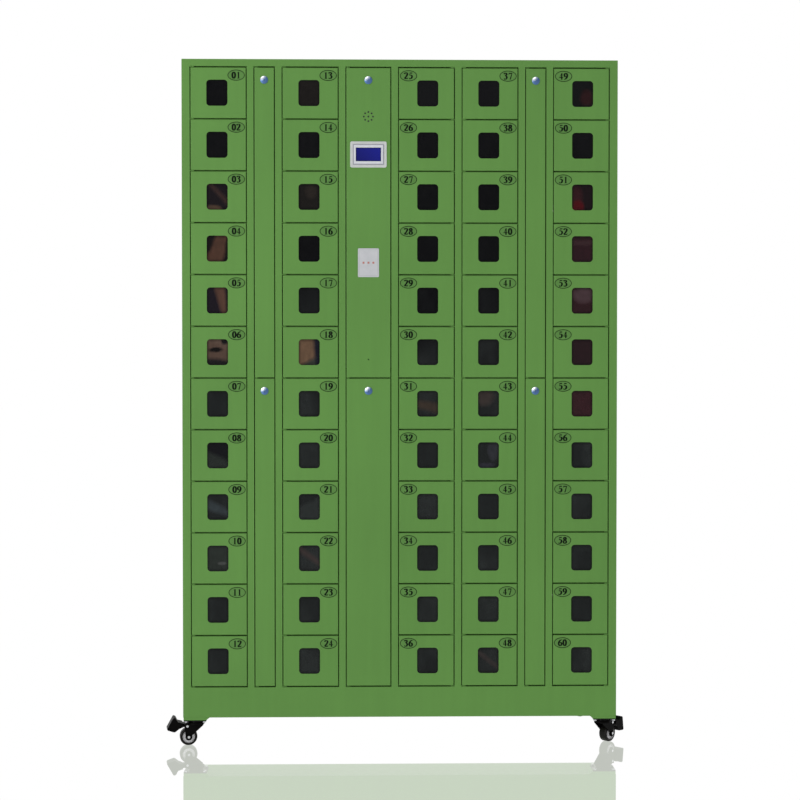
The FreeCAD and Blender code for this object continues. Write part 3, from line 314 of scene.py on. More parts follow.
def wheel_finish(caster):
    """Black tyre with a dull tread, round a pale, polished hub and web."""
    made, t = material(caster + "_tyre_and_hub", fades=True)
    away = axis_distance(t, caster + "_axle")
    hub = within(t, away, HUB_RADIUS)
    worn = t.ramp(t.noise(300, 3), 0.0, 1.0)
    tyre = t.mix(worn, rgb(10, 9, 9), rgb(26, 23, 21))
    pale = t.mix(worn, rgb(196, 195, 198), rgb(214, 212, 213))
    principled(
        t, base=t.mix(hub, tyre, pale), rough=t.ramp(hub, 0.38, 0.18, 0.0, 1.0),
        specular=t.ramp(hub, 0.15, 0.6, 0.0, 1.0), normal=t.bump(t.noise(500, 2), 0.1, 0.00004),
    )
    return made


def painted_with_pin(name, joint, radius, ribs=0.0):
    """Glossy black steel with a bright pin head on a joint's axis, and a ribbed sole if asked."""
    made, t = material(name, fades=True)
    pin = within(t, axis_distance(t, joint), radius)
    worn = t.ramp(t.noise(35, 4), 0.0, 1.0)
    mottled = t.mix(worn, shade(CASTER_BLACK, 0.9), shade(CASTER_BLACK, 1.6))
    peel = t.noise(300, 2)
    if ribs:
        place = t.node("ShaderNodeSeparateXYZ", {"Vector": t.position()})
        wave = t.math("SINE", t.math("MULTIPLY", place.outputs["Z"], 2 * math.pi / ribs))
        peel = t.math("ADD", peel, t.math("MULTIPLY", wave, 2.0))
    principled(
        t, base=t.mix(pin, mottled, PIN_STEEL), metal=pin,
        rough=t.ramp(pin, 0.36, 0.32, 0.0, 1.0), specular=0.03, normal=t.bump(peel, 0.25, 0.0002),
    )
    return made


PANE_LIP = 6 * MM  # how far a pane reaches behind its opening
EDGE = 0.09  # half the soft edge of a painted reflected shape, as a share of the opening
RIPPLE = 0.16  # how far the panes' ripples bend a painted reflected shape
PANE_DARK = rgb(9, 9, 12)
# the lower rows' painted reflection of a pale floor
PANE_PAINTED_FLOOR_REFLECTION = rgb(33, 36, 36)
# painted pale folds in the floor's reflection
PANE_PAINTED_FOLD_REFLECTION = rgb(52, 56, 55)
PANE_SMEAR = rgb(20, 19, 20)
# painted shade at the edges of each opening
PANE_EDGE_SHADE = rgb(6, 6, 7)
PALE_BELOW, DARK_ABOVE = 0.98, 1.2  # heights between which the panes' painted floor reflection fades from pale to dark
FOLDS_BELOW, FEW_FOLDS_ABOVE = 1.1, 1.4  # and between which their painted pale fold reflections thin out


def flood():
    """A painted reflected shape that fills the pane."""
    return lambda t, u, v: 1.0


def oval_in(middle, reach):
    """A soft painted reflection in an oval."""
    def mask(t, u, v):
        across = t.math("DIVIDE", t.math("SUBTRACT", u, middle[0]), reach[0])
        up = t.math("DIVIDE", t.math("SUBTRACT", v, middle[1]), reach[1])
        away = t.math("ADD", t.math("MULTIPLY", across, across), t.math("MULTIPLY", up, up))
        return t.ramp(away, 1.0, 0.0, 0.3, 1.3)
    return mask


def area(*lines):
    """The painted reflection's area on the right-hand side of every line, each from one point to
    another.
    """
    def mask(t, u, v):
        inside = 1.0
        for start, end in lines:
            run = (Vector(end) - Vector(start)).normalized()
            over = t.math("MULTIPLY", t.math("SUBTRACT", u, start[0]), run.y)
            down = t.math("MULTIPLY", t.math("SUBTRACT", v, start[1]), run.x)
            side = t.ramp(t.math("SUBTRACT", over, down), 0.0, 1.0, -EDGE, EDGE)
            inside = t.math("MULTIPLY", inside, side)
        return inside
    return mask


# Painted reflections of soft shapes on some panes, by door number. Points are shares of the
# opening from its middle.
PAINTED_REFLECTIONS = {
    3: [(flood(), rgb(30, 25, 29)), (oval_in((-0.15, -0.5), (0.4, 0.2)), rgb(92, 72, 58)),
        (area(((0.0, 0.3), (0.5, -0.1)), ((0.5, -0.34), (-0.1, 0.2))), rgb(64, 47, 43))],
    4: [(flood(), rgb(26, 21, 22)), (oval_in((-0.25, -0.42), (0.45, 0.3)), rgb(76, 50, 40)),
        (area(((-0.36, -0.3), (-0.08, 0.5)), ((0.46, 0.25), (0.24, -0.5))), rgb(84, 59, 48))],
    5: [(flood(), rgb(31, 26, 34)),
        (area(((0.2, -0.5), (-0.16, 0.5)), ((0.38, 0.5), (0.42, -0.5))), rgb(94, 67, 56))],
    6: [(flood(), rgb(104, 84, 73)), (area(((-0.3, 0.42), (0.3, 0.18))), rgb(94, 74, 64)),
        (oval_in((-0.08, 0.08), (0.36, 0.11)), rgb(20, 16, 16)),
        (oval_in((0.34, 0.44), (0.2, 0.16)), rgb(24, 24, 26)),
        (area(((-0.5, -0.24), (0.5, -0.3))), rgb(33, 30, 32))],
    8: [(flood(), rgb(21, 21, 25)), (area(((-0.5, 0.14), (0.5, -0.2))), rgb(43, 48, 45))],
    9: [(area(((-0.5, 0.3), (0.5, -0.1)), ((0.5, -0.35), (-0.5, -0.1))), rgb(56, 63, 66))],
    10: [(flood(), rgb(46, 51, 47)), (oval_in((0.2, -0.2), (0.22, 0.07)), rgb(78, 80, 78))],
    13: [(flood(), rgb(26, 22, 20))],
    15: [(flood(), rgb(30, 27, 25)), (oval_in((0.1, 0.2), (0.3, 0.3)), rgb(45, 39, 35))],
    18: [(flood(), rgb(26, 28, 40)),
         (area(((-0.3, -0.5), (0.3, -0.2)), ((0.3, 0.5), (0.3, -0.5))), rgb(62, 64, 57)),
         (area(((0.22, 0.5), (0.28, -0.22)), ((0.28, -0.22), (-0.25, -0.5))), rgb(112, 87, 68))],
    21: [(area(((-0.5, 0.0), (0.5, 0.35))), rgb(47, 51, 50))],
    22: [(area(((-0.5, 0.5), (0.5, -0.1)), ((0.5, -0.3), (-0.5, 0.25))), rgb(66, 56, 54))],
    31: [(area(((-0.5, 0.16), (0.5, 0.0)), ((0.5, -0.36), (-0.5, -0.16))), rgb(64, 54, 46))],
    43: [(oval_in((-0.2, 0.25), (0.5, 0.34)), rgb(62, 54, 51))],
    44: [(oval_in((0.24, 0.16), (0.3, 0.4)), rgb(52, 53, 58)),
         (oval_in((-0.1, -0.4), (0.42, 0.12)), rgb(52, 52, 60))],
    48: [(area(((-0.5, 0.4), (0.5, -0.24)), ((0.5, -0.34), (-0.5, 0.24))), rgb(66, 57, 55))],
    49: [(oval_in((0.2, -0.16), (0.34, 0.34)), rgb(44, 18, 20))],
    51: [(flood(), rgb(30, 21, 24)), (oval_in((-0.3, -0.1), (0.35, 0.6)), rgb(56, 27, 31)),
         (oval_in((-0.24, -0.38), (0.34, 0.3)), rgb(84, 15, 22))],
    52: [(flood(), rgb(50, 29, 34)),
         (area(((-0.2, 0.28), (0.6, 0.3)), ((0.6, 0.2), (-0.2, 0.2))), rgb(70, 50, 52))],
    53: [(flood(), rgb(52, 31, 34)), (oval_in((0.05, 0.24), (0.55, 0.34)), rgb(80, 61, 65))],
    54: [(flood(), rgb(44, 29, 32))],
    55: [(flood(), rgb(58, 32, 37))],
}


def pane_place(t, column):
    """A point's row in a column of panes, and its place in its opening: -0.5 to 0.5 across it and
    up it."""
    low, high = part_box(f"column_{column}_windows")
    pitch = row_pitch(column)
    width = high.x - low.x - 2 * PANE_LIP
    height = high.z - low.z - (ROWS - 1) * pitch - 2 * PANE_LIP
    top_line = high.z - PANE_LIP - height / 2 + pitch / 2
    place = t.node("ShaderNodeSeparateXYZ", {"Vector": t.position()})
    u = t.math("DIVIDE", t.math("SUBTRACT", place.outputs["X"], (low.x + high.x) / 2), width)
    rows_down = t.math("DIVIDE", t.math("SUBTRACT", top_line, place.outputs["Z"]), pitch)
    below_line = t.math("MULTIPLY", t.math("FRACT", rows_down), pitch / height)
    v = t.math("SUBTRACT", pitch / height / 2, below_line)
    return t.math("FLOOR", rows_down), u, v


def window_glass(column):
    """Smoked panes of one column. The upper rows look into the dark, the lower rows carry a
    painted reflection of a pale floor, and some panes carry painted reflections of soft shapes,
    mostly warm."""
    made, t = material(f"smoked_pane_{column}")
    place = t.node("ShaderNodeSeparateXYZ", {"Vector": t.position()})
    z = place.outputs["Z"]
    # painted reflection of a pale floor: strong in the lower rows, gone in the upper
    base = t.mix(t.ramp(z, 1.0, 0.0, PALE_BELOW, DARK_ABOVE), PANE_DARK, PANE_PAINTED_FLOOR_REFLECTION)
    # painted pale fold reflections, thinning out higher up
    fold_reflections = t.ramp(t.noise(11, 3, t.scaled(1.0, 1.0, 0.55), rough=0.45), 0.0, 0.5, 0.42, 0.62)
    low_down = t.ramp(z, 1.0, 0.1, FOLDS_BELOW, FEW_FOLDS_ABOVE)
    base = t.mix(t.math("MULTIPLY", fold_reflections, low_down), base, PANE_PAINTED_FOLD_REFLECTION)
    row, u, v = pane_place(t, column)
    ripple = t.math("MULTIPLY", t.math("SUBTRACT", t.noise(32, 3), 0.5), RIPPLE)
    bent_u, bent_v = t.math("ADD", u, ripple), t.math("SUBTRACT", v, ripple)
    # painted reflections of soft shapes, each on its own pane
    for number, shapes in PAINTED_REFLECTIONS.items():
        index = number - 1 - (column - 1) * ROWS
        if index not in range(ROWS):
            continue
        same = t.node("ShaderNodeMath", {0: row, 1: index, 2: 0.5}, operation="COMPARE")
        here = same.outputs[0]
        for mask, colour in shapes:
            base = t.mix(t.math("MULTIPLY", here, mask(t, bent_u, bent_v)), base, colour)
    smears = t.noise(70, 4, t.scaled(1.0, 1.0, 0.6))
    base = t.mix(t.ramp(smears, 0.0, 0.3), base, PANE_SMEAR)
    # painted shade darkening each pane towards its opening's edges
    off_middle = t.math("MAXIMUM", t.math("ABSOLUTE", u), t.math("ABSOLUTE", v))
    base = t.mix(t.ramp(off_middle, 0.0, 0.6, 0.37, 0.5), base, PANE_EDGE_SHADE)
    principled(t, base=base, rough=t.ramp(smears, 0.12, 0.22), specular=0.08, alpha=0.94)
    return made


def frame_distance(t, node, inset):
    """Distance outside, or if negative inside, a rectangle set in from a part's outline."""
    low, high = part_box(node)
    place = t.node("ShaderNodeSeparateXYZ", {"Vector": t.position()})
    middle = (low + high) / 2
    half = (high - low) / 2
    across = t.math("ABSOLUTE", t.math("SUBTRACT", place.outputs["X"], middle.x))
    up = t.math("ABSOLUTE", t.math("SUBTRACT", place.outputs["Z"], middle.z))
    return t.math("MAXIMUM", t.math("SUBTRACT", across, half.x - inset),
                  t.math("SUBTRACT", up, half.z - inset))


def line_at(t, distance, half_width):
    """1 within half_width of distance 0, with a soft edge."""
    return t.ramp(t.math("ABSOLUTE", distance), 1.0, 0.0, half_width * 0.6, half_width * 1.4)


FLANGE_WIDTH = 9 * MM
GROOVE = 1.3 * MM  # half the width of the painted shade line in the groove between the bezel's flange and rim
DISPLAY_BORDER = 5.5 * MM
DOT_WAVE = 11000.0  # radians per metre of the display's dot grid
CARD_LINE_INSET = 4 * MM
CARD_LINE = 0.5 * MM  # half the width of the card reader's printed line


def bezel_face():
    """Light grey flange, painted shade along the groove at the step, and a whiter raised rim."""
    made, t = material("bezel_plastic")
    step = frame_distance(t, "display_bezel", FLANGE_WIDTH)
    speckle = t.ramp(t.noise(60, 3), 0.0, 1.0)
    rim = t.mix(speckle, rgb(214, 216, 222), rgb(222, 223, 228))
    flange = t.mix(speckle, rgb(203, 206, 203), rgb(211, 213, 211))
    tone = t.mix(t.ramp(step, 0.0, 1.0, -0.3 * MM, 0.3 * MM), rim, flange)
    # painted shade in the groove at the step
    tone = t.mix(line_at(t, step, GROOVE), tone, rgb(158, 156, 168))
    grain = t.bump(t.noise(1400, 2), 0.1, 0.00008)
    principled(t, base=tone, rough=0.42, specular=0.3, normal=grain)
    return made


def display_face():
    """Dark blue display: a lit field inside a darker border, with a faint dot grid."""
    low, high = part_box("display_panel")
    made, t = material("display_face")
    place = t.node("ShaderNodeSeparateXYZ", {"Vector": t.position()})
    x, z = place.outputs["X"], place.outputs["Z"]
    across, up = (t.math("SINE", t.math("MULTIPLY", along, DOT_WAVE)) for along in (x, z))
    dots = t.math("MULTIPLY", across, up)
    tilt = t.ramp(t.math("ADD", x, z), 0.0, 1.0, low.x + low.z, high.x + high.z)
    tone = t.mix(tilt, rgb(2, 6, 84), rgb(14, 22, 128))
    tone = t.mix(t.ramp(dots, 0.0, 0.25, -0.5, 1.0), tone, rgb(2, 4, 60))
    edge = frame_distance(t, "display_panel", DISPLAY_BORDER)
    tone = t.mix(t.ramp(edge, 0.0, 0.7, -1.2 * MM, 0.2 * MM), tone, rgb(2, 3, 34))
    principled(t, base=tone, rough=0.25, specular=0.2, emission=tone, emission_strength=0.35)
    return made


def laminate():
    """Circuit board: solder mask with paler tracks and pads."""
    made, t = material("board_laminate")
    tracks = t.node("ShaderNodeTexBrick", {
        "Vector": t.node("ShaderNodeMapping", {
            "Vector": t.position(), "Rotation": (math.pi / 2, 0, 0),
        }).outputs["Vector"],
        "Color1": rgb(18, 84, 48), "Color2": rgb(14, 70, 40), "Mortar": rgb(60, 130, 80),
        "Scale": 90.0, "Mortar Size": 0.03,
    }).outputs["Color"]
    principled(t, base=tracks, rough=t.ramp(t.noise(80, 3), 0.3, 0.45), specular=0.5)
    return made


def sleeve():
    """Braided cable sleeve."""
    made, t = material("braided_sleeve")
    waves = t.node("ShaderNodeTexWave", {
        "Vector": t.position(), "Scale": 90.0, "Distortion": 1.5, "Detail": 1.0,
    }, bands_direction="DIAGONAL").outputs["Fac"]
    principled(
        t, base=t.mix(waves, rgb(14, 14, 15), rgb(52, 52, 54)), rough=0.55,
        normal=t.bump(waves, 0.4, 0.0004),
    )
    return made


def label_face():
    """Pale card reader cover with a faint printed border line."""
    made, t = material("card_label")
    line = line_at(t, frame_distance(t, "card_reader", CARD_LINE_INSET), CARD_LINE)
    face = t.mix(t.ramp(t.noise(50, 3), 0, 1), rgb(196, 197, 201), rgb(206, 206, 209))
    printed = t.mix(t.math("MULTIPLY", line, 0.35), face, rgb(150, 150, 152))
    principled(t, base=printed, rough=0.4, specular=0.3)
    return made


CHROME = lock_chrome()
LAMINATE = laminate()
SLEEVE = sleeve()

NODE_MATERIALS = {
    "front_frame": CABINET, "door_pivots": CABINET, "caster_pads": UNDERSIDE,
    "bottom_panel": UNDERSIDE,
    "bay_partitions": INNER_SHADED, "compartment_shelves": INNER_SHADED, "compartment_backs": INNER_SHADED,
    "equipment_plate": INNER_SHADED, "usb_sockets": BLACK, "speaker": BLACK, "power_inlet": BLACK,
    "cable_trunking": GREY, "electric_locks": ZINC, "power_supplies": ZINC,
    "panel_screws": ZINC, "caster_bolts": BOLT_ZINC, "circuit_boards": LAMINATE,
    "wiring_looms": SLEEVE, "display_bezel": bezel_face(), "display_panel": display_face(),
    "card_reader": label_face(), "caster_top_plates": GLOSS_BLACK,
}
NAME_MATERIALS = (
    ("_panel", CABINET), ("_service_door", DOOR), ("_doors", DOOR), ("_lock", CHROME),
)
CASTERS = [name.removesuffix("_wheel") for name in frame["nodes"] if name.endswith("_wheel")]


def finish_of(name):
    if name in NODE_MATERIALS:
        return NODE_MATERIALS[name]
    for ending, found in NAME_MATERIALS:
        if name.endswith(ending):
            return found
    return DOOR


for column in COLUMNS:
    NODE_MATERIALS[f"column_{column}_windows"] = window_glass(column)
NODE_MATERIALS["door_19_window"] = NODE_MATERIALS["column_2_windows"]
for caster in CASTERS:
    NODE_MATERIALS[caster + "_wheel"] = wheel_finish(caster)
    NODE_MATERIALS[caster + "_fork"] = painted_with_pin(
        caster + "_fork_steel", caster + "_axle", AXLE_HEAD
    )
    if caster + "_pedal" in frame["nodes"]:
        NODE_MATERIALS[caster + "_pedal"] = painted_with_pin(
            caster + "_pedal_steel", caster + "_brake", BRAKE_HEAD, ribs=SOLE_RIBS
        )
for name, thing in frame["nodes"].items():
    thing.data.materials.clear()
    thing.data.materials.append(finish_of(name))


# ---------------------------------------------------------------- mesh helpers


def mesh_object(name, mesh, finish, body):
    made = bpy.data.objects.new(name, mesh)
    scene.collection.objects.link(made)
    mesh.materials.append(finish)
    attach(made, body)


def from_bmesh(name, bm):
    mesh = bpy.data.meshes.new(name)
    bm.normal_update()
    bm.to_mesh(mesh)
    bm.free()
    return mesh


def ring_points(cx, cz, rx, rz, count):
    return [
        (cx + rx * math.cos(2 * math.pi * i / count), cz + rz * math.sin(2 * math.pi * i / count))
        for i in range(count)
    ]


def add_face(bm, points, y):
    bm.faces.new([bm.verts.new((x, y, z)) for x, z in points])


def add_band(bm, outer, inner, y, closed=True):
    """Faces between two rows of points, facing -Y."""
    a = [bm.verts.new((x, y, z)) for x, z in outer]
    b = [bm.verts.new((x, y, z)) for x, z in inner]
    count = len(a)
    for i in range(count if closed else count - 1):
        j = (i + 1) % count
        bm.faces.new((a[i], a[j], b[j], b[i]))


# ---------------------------------------------------------------- numerals

# Numerals are drawn in a cell that is 1 high and DIGIT_WIDTH wide.
DIGIT_WIDTH = 0.5
THICK = 0.108  # half the pen's width where a stroke runs upright
THIN = 0.044  # and where it runs level
PEN_TURN = 1.4  # how fast the pen thins as a stroke turns from upright to level
BALL = 0.065  # radius of the ball that ends a stroke
STROKE_LIFT = 0.02 * MM  # each stroke of a numeral lies this far in front of the one before


def smooth(points, steps=7):
    """Catmull-Rom samples through the points."""
    out = []
    last = len(points) - 1
    for i in range(last):
        p = [points[max(0, min(last, i + k))] for k in (-1, 0, 1, 2)]
        for s in range(steps):
            t = s / steps
            weights = (
                -t + 2 * t**2 - t**3, 2 - 5 * t**2 + 3 * t**3,
                t + 4 * t**2 - 3 * t**3, -(t**2) + t**3,
            )
            out.append(tuple(
                sum(w * q[axis] for w, q in zip(weights, p)) / 2 for axis in range(len(p[0]))
            ))
    out.append(points[-1])
    return out


def pen(points, closed=False):
    """Both sides of a stroke drawn with a broad pen: thick where it runs upright."""
    count = len(points)
    left, right = [], []
    for i, (x, z) in enumerate(points):
        a = points[(i - 1) % count] if closed or i else points[0]
        b = points[(i + 1) % count] if closed or i < count - 1 else points[-1]
        run = Vector((b[0] - a[0], b[1] - a[1]))
        run.normalize()
        half = THIN + (THICK - THIN) * abs(run.y) ** PEN_TURN
        left.append((x - run.y * half, z + run.x * half))
        right.append((x + run.y * half, z - run.x * half))
    return left, right


def ball(x, z):
    return ("face", ring_points(x, z, BALL, BALL, 14))


def oval(x, z, rx, rz):
    return ("loop", ring_points(x, z, rx, rz, 28))


SIX = [
    ("line", [(0.45, 0.965), (0.27, 0.86), (0.12, 0.62), (0.085, 0.34), (0.15, 0.10),
              (0.26, 0.025), (0.385, 0.13), (0.415, 0.32), (0.36, 0.52), (0.25, 0.575),
              (0.13, 0.49)]),
]
NINE = [("line", [(0.5 - x, 0.99 - z) for x, z in SIX[0][1]])]
STROKES = {
    "0": [oval(0.25, 0.5, 0.165, 0.465)],
    "1": [
        ("face", [(0.18, 0.03), (0.345, 0.03), (0.345, 0.99), (0.30, 0.99), (0.18, 0.93)]),
        ("face", [(0.09, 0.0), (0.435, 0.0), (0.435, 0.045), (0.09, 0.045)]),
        ("face", [(0.09, 0.86), (0.18, 0.86), (0.30, 0.99), (0.26, 0.99)]),
    ],
    "2": [
        ("line", [(0.07, 0.76), (0.12, 0.90), (0.24, 0.965), (0.375, 0.87), (0.38, 0.68),
                  (0.29, 0.45), (0.16, 0.24), (0.06, 0.10)]),
        ("face", [(0.03, 0.0), (0.43, 0.0), (0.475, 0.25), (0.435, 0.25), (0.38, 0.155),
                  (0.06, 0.155)]),
    ],
    "3": [
        ("line", [(0.07, 0.79), (0.13, 0.92), (0.24, 0.965), (0.345, 0.87), (0.335, 0.69),
                  (0.17, 0.55)]),
        ("line", [(0.17, 0.555), (0.33, 0.49), (0.385, 0.30), (0.31, 0.09), (0.17, 0.025),
                  (0.08, 0.08)]),
        ball(0.09, 0.115),
    ],
    "4": [
        ("face", [(0.02, 0.25), (0.48, 0.25), (0.48, 0.37), (0.02, 0.37)]),
        ("face", [(0.23, 0.0), (0.385, 0.0), (0.385, 0.99), (0.30, 0.99), (0.23, 0.9)]),
        ("face", [(0.02, 0.30), (0.075, 0.30), (0.34, 0.99), (0.29, 0.99)]),
    ],
    "5": [
        ("face", [(0.13, 0.83), (0.40, 0.83), (0.45, 0.99), (0.13, 0.99)]),
        ("face", [(0.085, 0.56), (0.125, 0.56), (0.165, 0.97), (0.12, 0.97)]),
        ("line", [(0.10, 0.57), (0.24, 0.625), (0.365, 0.52), (0.385, 0.31), (0.30, 0.10),
                  (0.17, 0.025), (0.08, 0.07)]),
        ball(0.09, 0.115),
    ],
    "6": SIX,
    "7": [
        ("face", [(0.04, 0.70), (0.075, 0.70), (0.12, 0.83), (0.46, 0.83), (0.48, 0.99),
                  (0.06, 0.99)]),
        ("face", [(0.17, 0.0), (0.31, 0.0), (0.48, 0.93), (0.40, 0.93)]),
    ],
    "8": [oval(0.25, 0.755, 0.125, 0.21), oval(0.25, 0.265, 0.16, 0.24)],
    "9": NINE,
}


def add_digit(bm, digit, x, z, height, width, y):
    """One numeral with its lower left corner at x, z."""
    def at(points):
        return [(x + px * width, z + pz * height) for px, pz in points]

    for index, (kind, points) in enumerate(STROKES[digit]):
        lift = y - index * STROKE_LIFT
        if kind == "face":
            add_face(bm, at(points), lift)
        elif kind == "loop":
            left, right = pen(points, closed=True)
            add_band(bm, at(left), at(right), lift)
        else:
            left, right = pen(smooth(points))
            add_band(bm, at(left), at(right), lift, closed=False)


# ---------------------------------------------------------------- number badges

BADGE_WIDTH = 49 * MM
BADGE_HEIGHT = 31 * MM
BADGE_LINE = 1.9 * MM
BADGE_POINTS = 48
BADGE_SIDE = 27.5 * MM  # from the door's latch side to the badge's middle
BADGE_DROP = 22 * MM  # from the door's top to the badge's middle
DIGIT_HEIGHT = 19 * MM
DIGIT_PITCH = 13.2 * MM
DIGIT_SPACE = 1.08  # a numeral's pitch over its width
DIGIT_SHIFT = 0.3 * MM
FILM_LIFT = 0.06 * MM
LINE_LIFT = 0.12 * MM
DIGIT_LIFT = 0.14 * MM


def badge_fill():
    made, t = material("badge_film")
    face = t.mix(t.ramp(t.noise(40, 3), 0, 1), rgb(88, 134, 64), rgb(95, 141, 71))
    principled(t, base=face, rough=0.4, specular=0.2)
    return made


FILM = badge_fill()


def door_places():
    """Column, row, number, body, the leaf's latch-side edge, its direction and its top."""
    for column in COLUMNS:
        low, high = DOORS[column]
        for row in range(ROWS):
            number = (column - 1) * ROWS + row + 1
            alone = column == 2 and row == DOOR_19_ROW
            body = "door_19" if alone else f"column_{column}_doors"
            if column in LEFT_LATCHED:
                edge, inward = low.x, 1
            else:
                edge, inward = high.x, -1
            yield column, row, number, body, edge, inward, high.z - row_pitch(column) * row


def badges():
    """An oval badge with a two-digit number on every phone door, near its latch side."""
    face_y = DOORS[1][0].y
    width = DIGIT_PITCH / (DIGIT_WIDTH * DIGIT_SPACE)
    film, ink = defaultdict(bmesh.new), defaultdict(bmesh.new)
    for _, _, number, body, edge, inward, top in door_places():
        x = edge + inward * BADGE_SIDE
        z = top - BADGE_DROP
        outer, inner = (
            ring_points(x, z, BADGE_WIDTH / 2 - inset, BADGE_HEIGHT / 2 - inset, BADGE_POINTS)
            for inset in (0, BADGE_LINE)
        )
        add_face(film[body], outer, face_y - FILM_LIFT)
        add_band(ink[body], outer, inner, face_y - LINE_LIFT)
        for place, digit in enumerate(f"{number:02d}"):
            add_digit(
                ink[body], digit, x + (place - 1) * DIGIT_PITCH + DIGIT_SHIFT,
                z - DIGIT_HEIGHT / 2, DIGIT_HEIGHT, width, face_y - DIGIT_LIFT,
            )
    for body in film:
        mesh_object(f"{body}_badge_film", from_bmesh(body + "_film", film[body]), FILM, body)
        mesh_object(f"{body}_badge_ink", from_bmesh(body + "_ink", ink[body]), INK, body)


badges()


# ---------------------------------------------------------------- card reader marks

MARK = 5.5 * MM
MARK_PITCH = 14 * MM
MARK_LIFT = 0.08 * MM


def reader_marks():
    """Three small printed marks across the card reader cover."""
    low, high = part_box("card_reader")
    middle = (low + high) / 2
    bm = bmesh.new()
    for place in (-1, 0, 1):
        left, right = (middle.x + place * MARK_PITCH + side * MARK / 2 for side in (-1, 1))
        bottom, top = middle.z - MARK / 2, middle.z + MARK / 2
        outline = [(left, bottom), (right, bottom), (right, top), (left, top)]
        add_face(bm, outline, low.y - MARK_LIFT)
    mark = plastic("reader_mark", rgb(190, 122, 108), 0.5)
    mesh_object("card_reader_marks", from_bmesh("reader_marks", bm), mark,
                "centre_upper_service_door")


reader_marks()


# ---------------------------------------------------------------- charging leads

LEAD_RADIUS = 1.7 * MM
LEAD_CLEAR = 0.4 * MM  # left under a lead that lies on a shelf
PORT_SIDE = 8 * MM  # from the outlet's middle to its left port
PORT_RISE = 10 * MM  # from the bottom of the outlet's flange to its ports
FLOOR_DROP = 45.5 * MM  # from the ports to the compartment's floor
COIL_AHEAD = 96 * MM  # from the outlet forward to the middle of the coil
COIL_RADIUS = 25 * MM
COIL_START = 160  # degrees, as is the step between the coil's points
COIL_STEP = 28
COIL_POINTS = 14
RISE_FROM, RISE_OVER = 8, 3  # the coil climbs over itself from this point on, over so many points
CROSSING = 2.3 * LEAD_RADIUS  # how high it climbs
WANDER = 3 * MM  # how far the coils' radii differ
SWAY = 5 * MM  # how far the coils' places differ
LOOSE_SWAY = 8 * MM  # and those of the loose ends
WANDER_TURN, SWAY_TURN = 1.7, 2.4  # radians from one lead to the next
PORT_PLUG = (11 * MM, 18 * MM, 6.5 * MM)
LOOSE_PLUG = (9 * MM, 20 * MM, 4.2 * MM)
LOOSE_GRIP = 8 * MM  # from the lead's end to its plug's middle


def block(bm, middle, size, bevel):
    """A block with rounded edges."""
    made = bmesh.ops.create_cube(
        bm, size=1.0, matrix=Matrix.LocRotScale(Vector(middle), None, Vector(size))
    )
    edges = {edge for vert in made["verts"] for edge in vert.link_edges}
    bmesh.ops.bevel(bm, geom=list(edges), offset=bevel, segments=2, affect="EDGES", profile=0.5)


def lead_path(x, y, z, number):
    """From a port down to the floor, once round in a coil, and out to the loose end."""
    floor = z - FLOOR_DROP + LEAD_RADIUS + LEAD_CLEAR
    sway = math.sin(number * SWAY_TURN)
    reach = COIL_RADIUS + WANDER * math.cos(number * WANDER_TURN)
    path = [
        (x, y, z), (x, y - 12 * MM, z - 2 * MM), (x - 2 * MM, y - 28 * MM, z - 20 * MM),
        (x - 8 * MM, y - 36 * MM, floor + 8 * MM), (x - 12 * MM, y - 46 * MM, floor),
    ]
    middle_x = x + PORT_SIDE + SWAY * sway
    middle_y = y + PORT_PLUG[1] - COIL_AHEAD
    for step in range(COIL_POINTS):
        angle = math.radians(COIL_START + COIL_STEP * step)
        climb = max(0.0, min(1.0, (step - RISE_FROM) / RISE_OVER))
        path.append((
            middle_x + reach * math.cos(angle), middle_y + reach * math.sin(angle),
            floor + CROSSING * climb,
        ))
    end_x = middle_x + LOOSE_SWAY * sway
    front = middle_y - reach
    path += [
        (end_x, front - 14 * MM, floor + 2 * LEAD_RADIUS), (end_x, front - 34 * MM, floor),
        (end_x, front - 48 * MM, floor),
    ]
    return path


def charging_leads():
    """One lead to each compartment's outlet, with a plug at the port and one at the loose end."""
    outlets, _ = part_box("usb_sockets")
    cord = bpy.data.curves.new("charging_leads", "CURVE")
    cord.dimensions = "3D"
    cord.bevel_depth = LEAD_RADIUS
    cord.bevel_resolution = 2
    cord.use_fill_caps = True
    plugs = bmesh.new()
    for column, row, number, *_ in door_places():
        low, high = DOORS[column]
        x = (low.x + high.x) / 2 - PORT_SIDE
        z = outlets.z + PORT_RISE + row_pitch(column) * (ROWS - 1 - row)
        block(plugs, (x, outlets.y - PORT_PLUG[1] / 2, z), PORT_PLUG, 1.2 * MM)
        path = lead_path(x, outlets.y - PORT_PLUG[1], z, number)
        points = smooth(path, steps=4)
        line = cord.splines.new("POLY")
        line.points.add(len(points) - 1)
        for spot, at in zip(line.points, points):
            spot.co = (*at, 1.0)
        end_x, end_y, end_z = path[-1]
        block(plugs, (end_x, end_y - LOOSE_GRIP, end_z), LOOSE_PLUG, 0.9 * MM)
    leads = bpy.data.objects.new("charging_leads", cord)
    scene.collection.objects.link(leads)
    cord.materials.append(plastic("lead_sheath", rgb(206, 207, 210), 0.45, grain=900))
    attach(leads, "cabinet")
    mesh_object("charging_plugs", from_bmesh("charging_plugs", plugs),
                plastic("plug_shell", rgb(222, 223, 226), 0.35), "cabinet")


charging_leads()


# ---------------------------------------------------------------- studio and camera

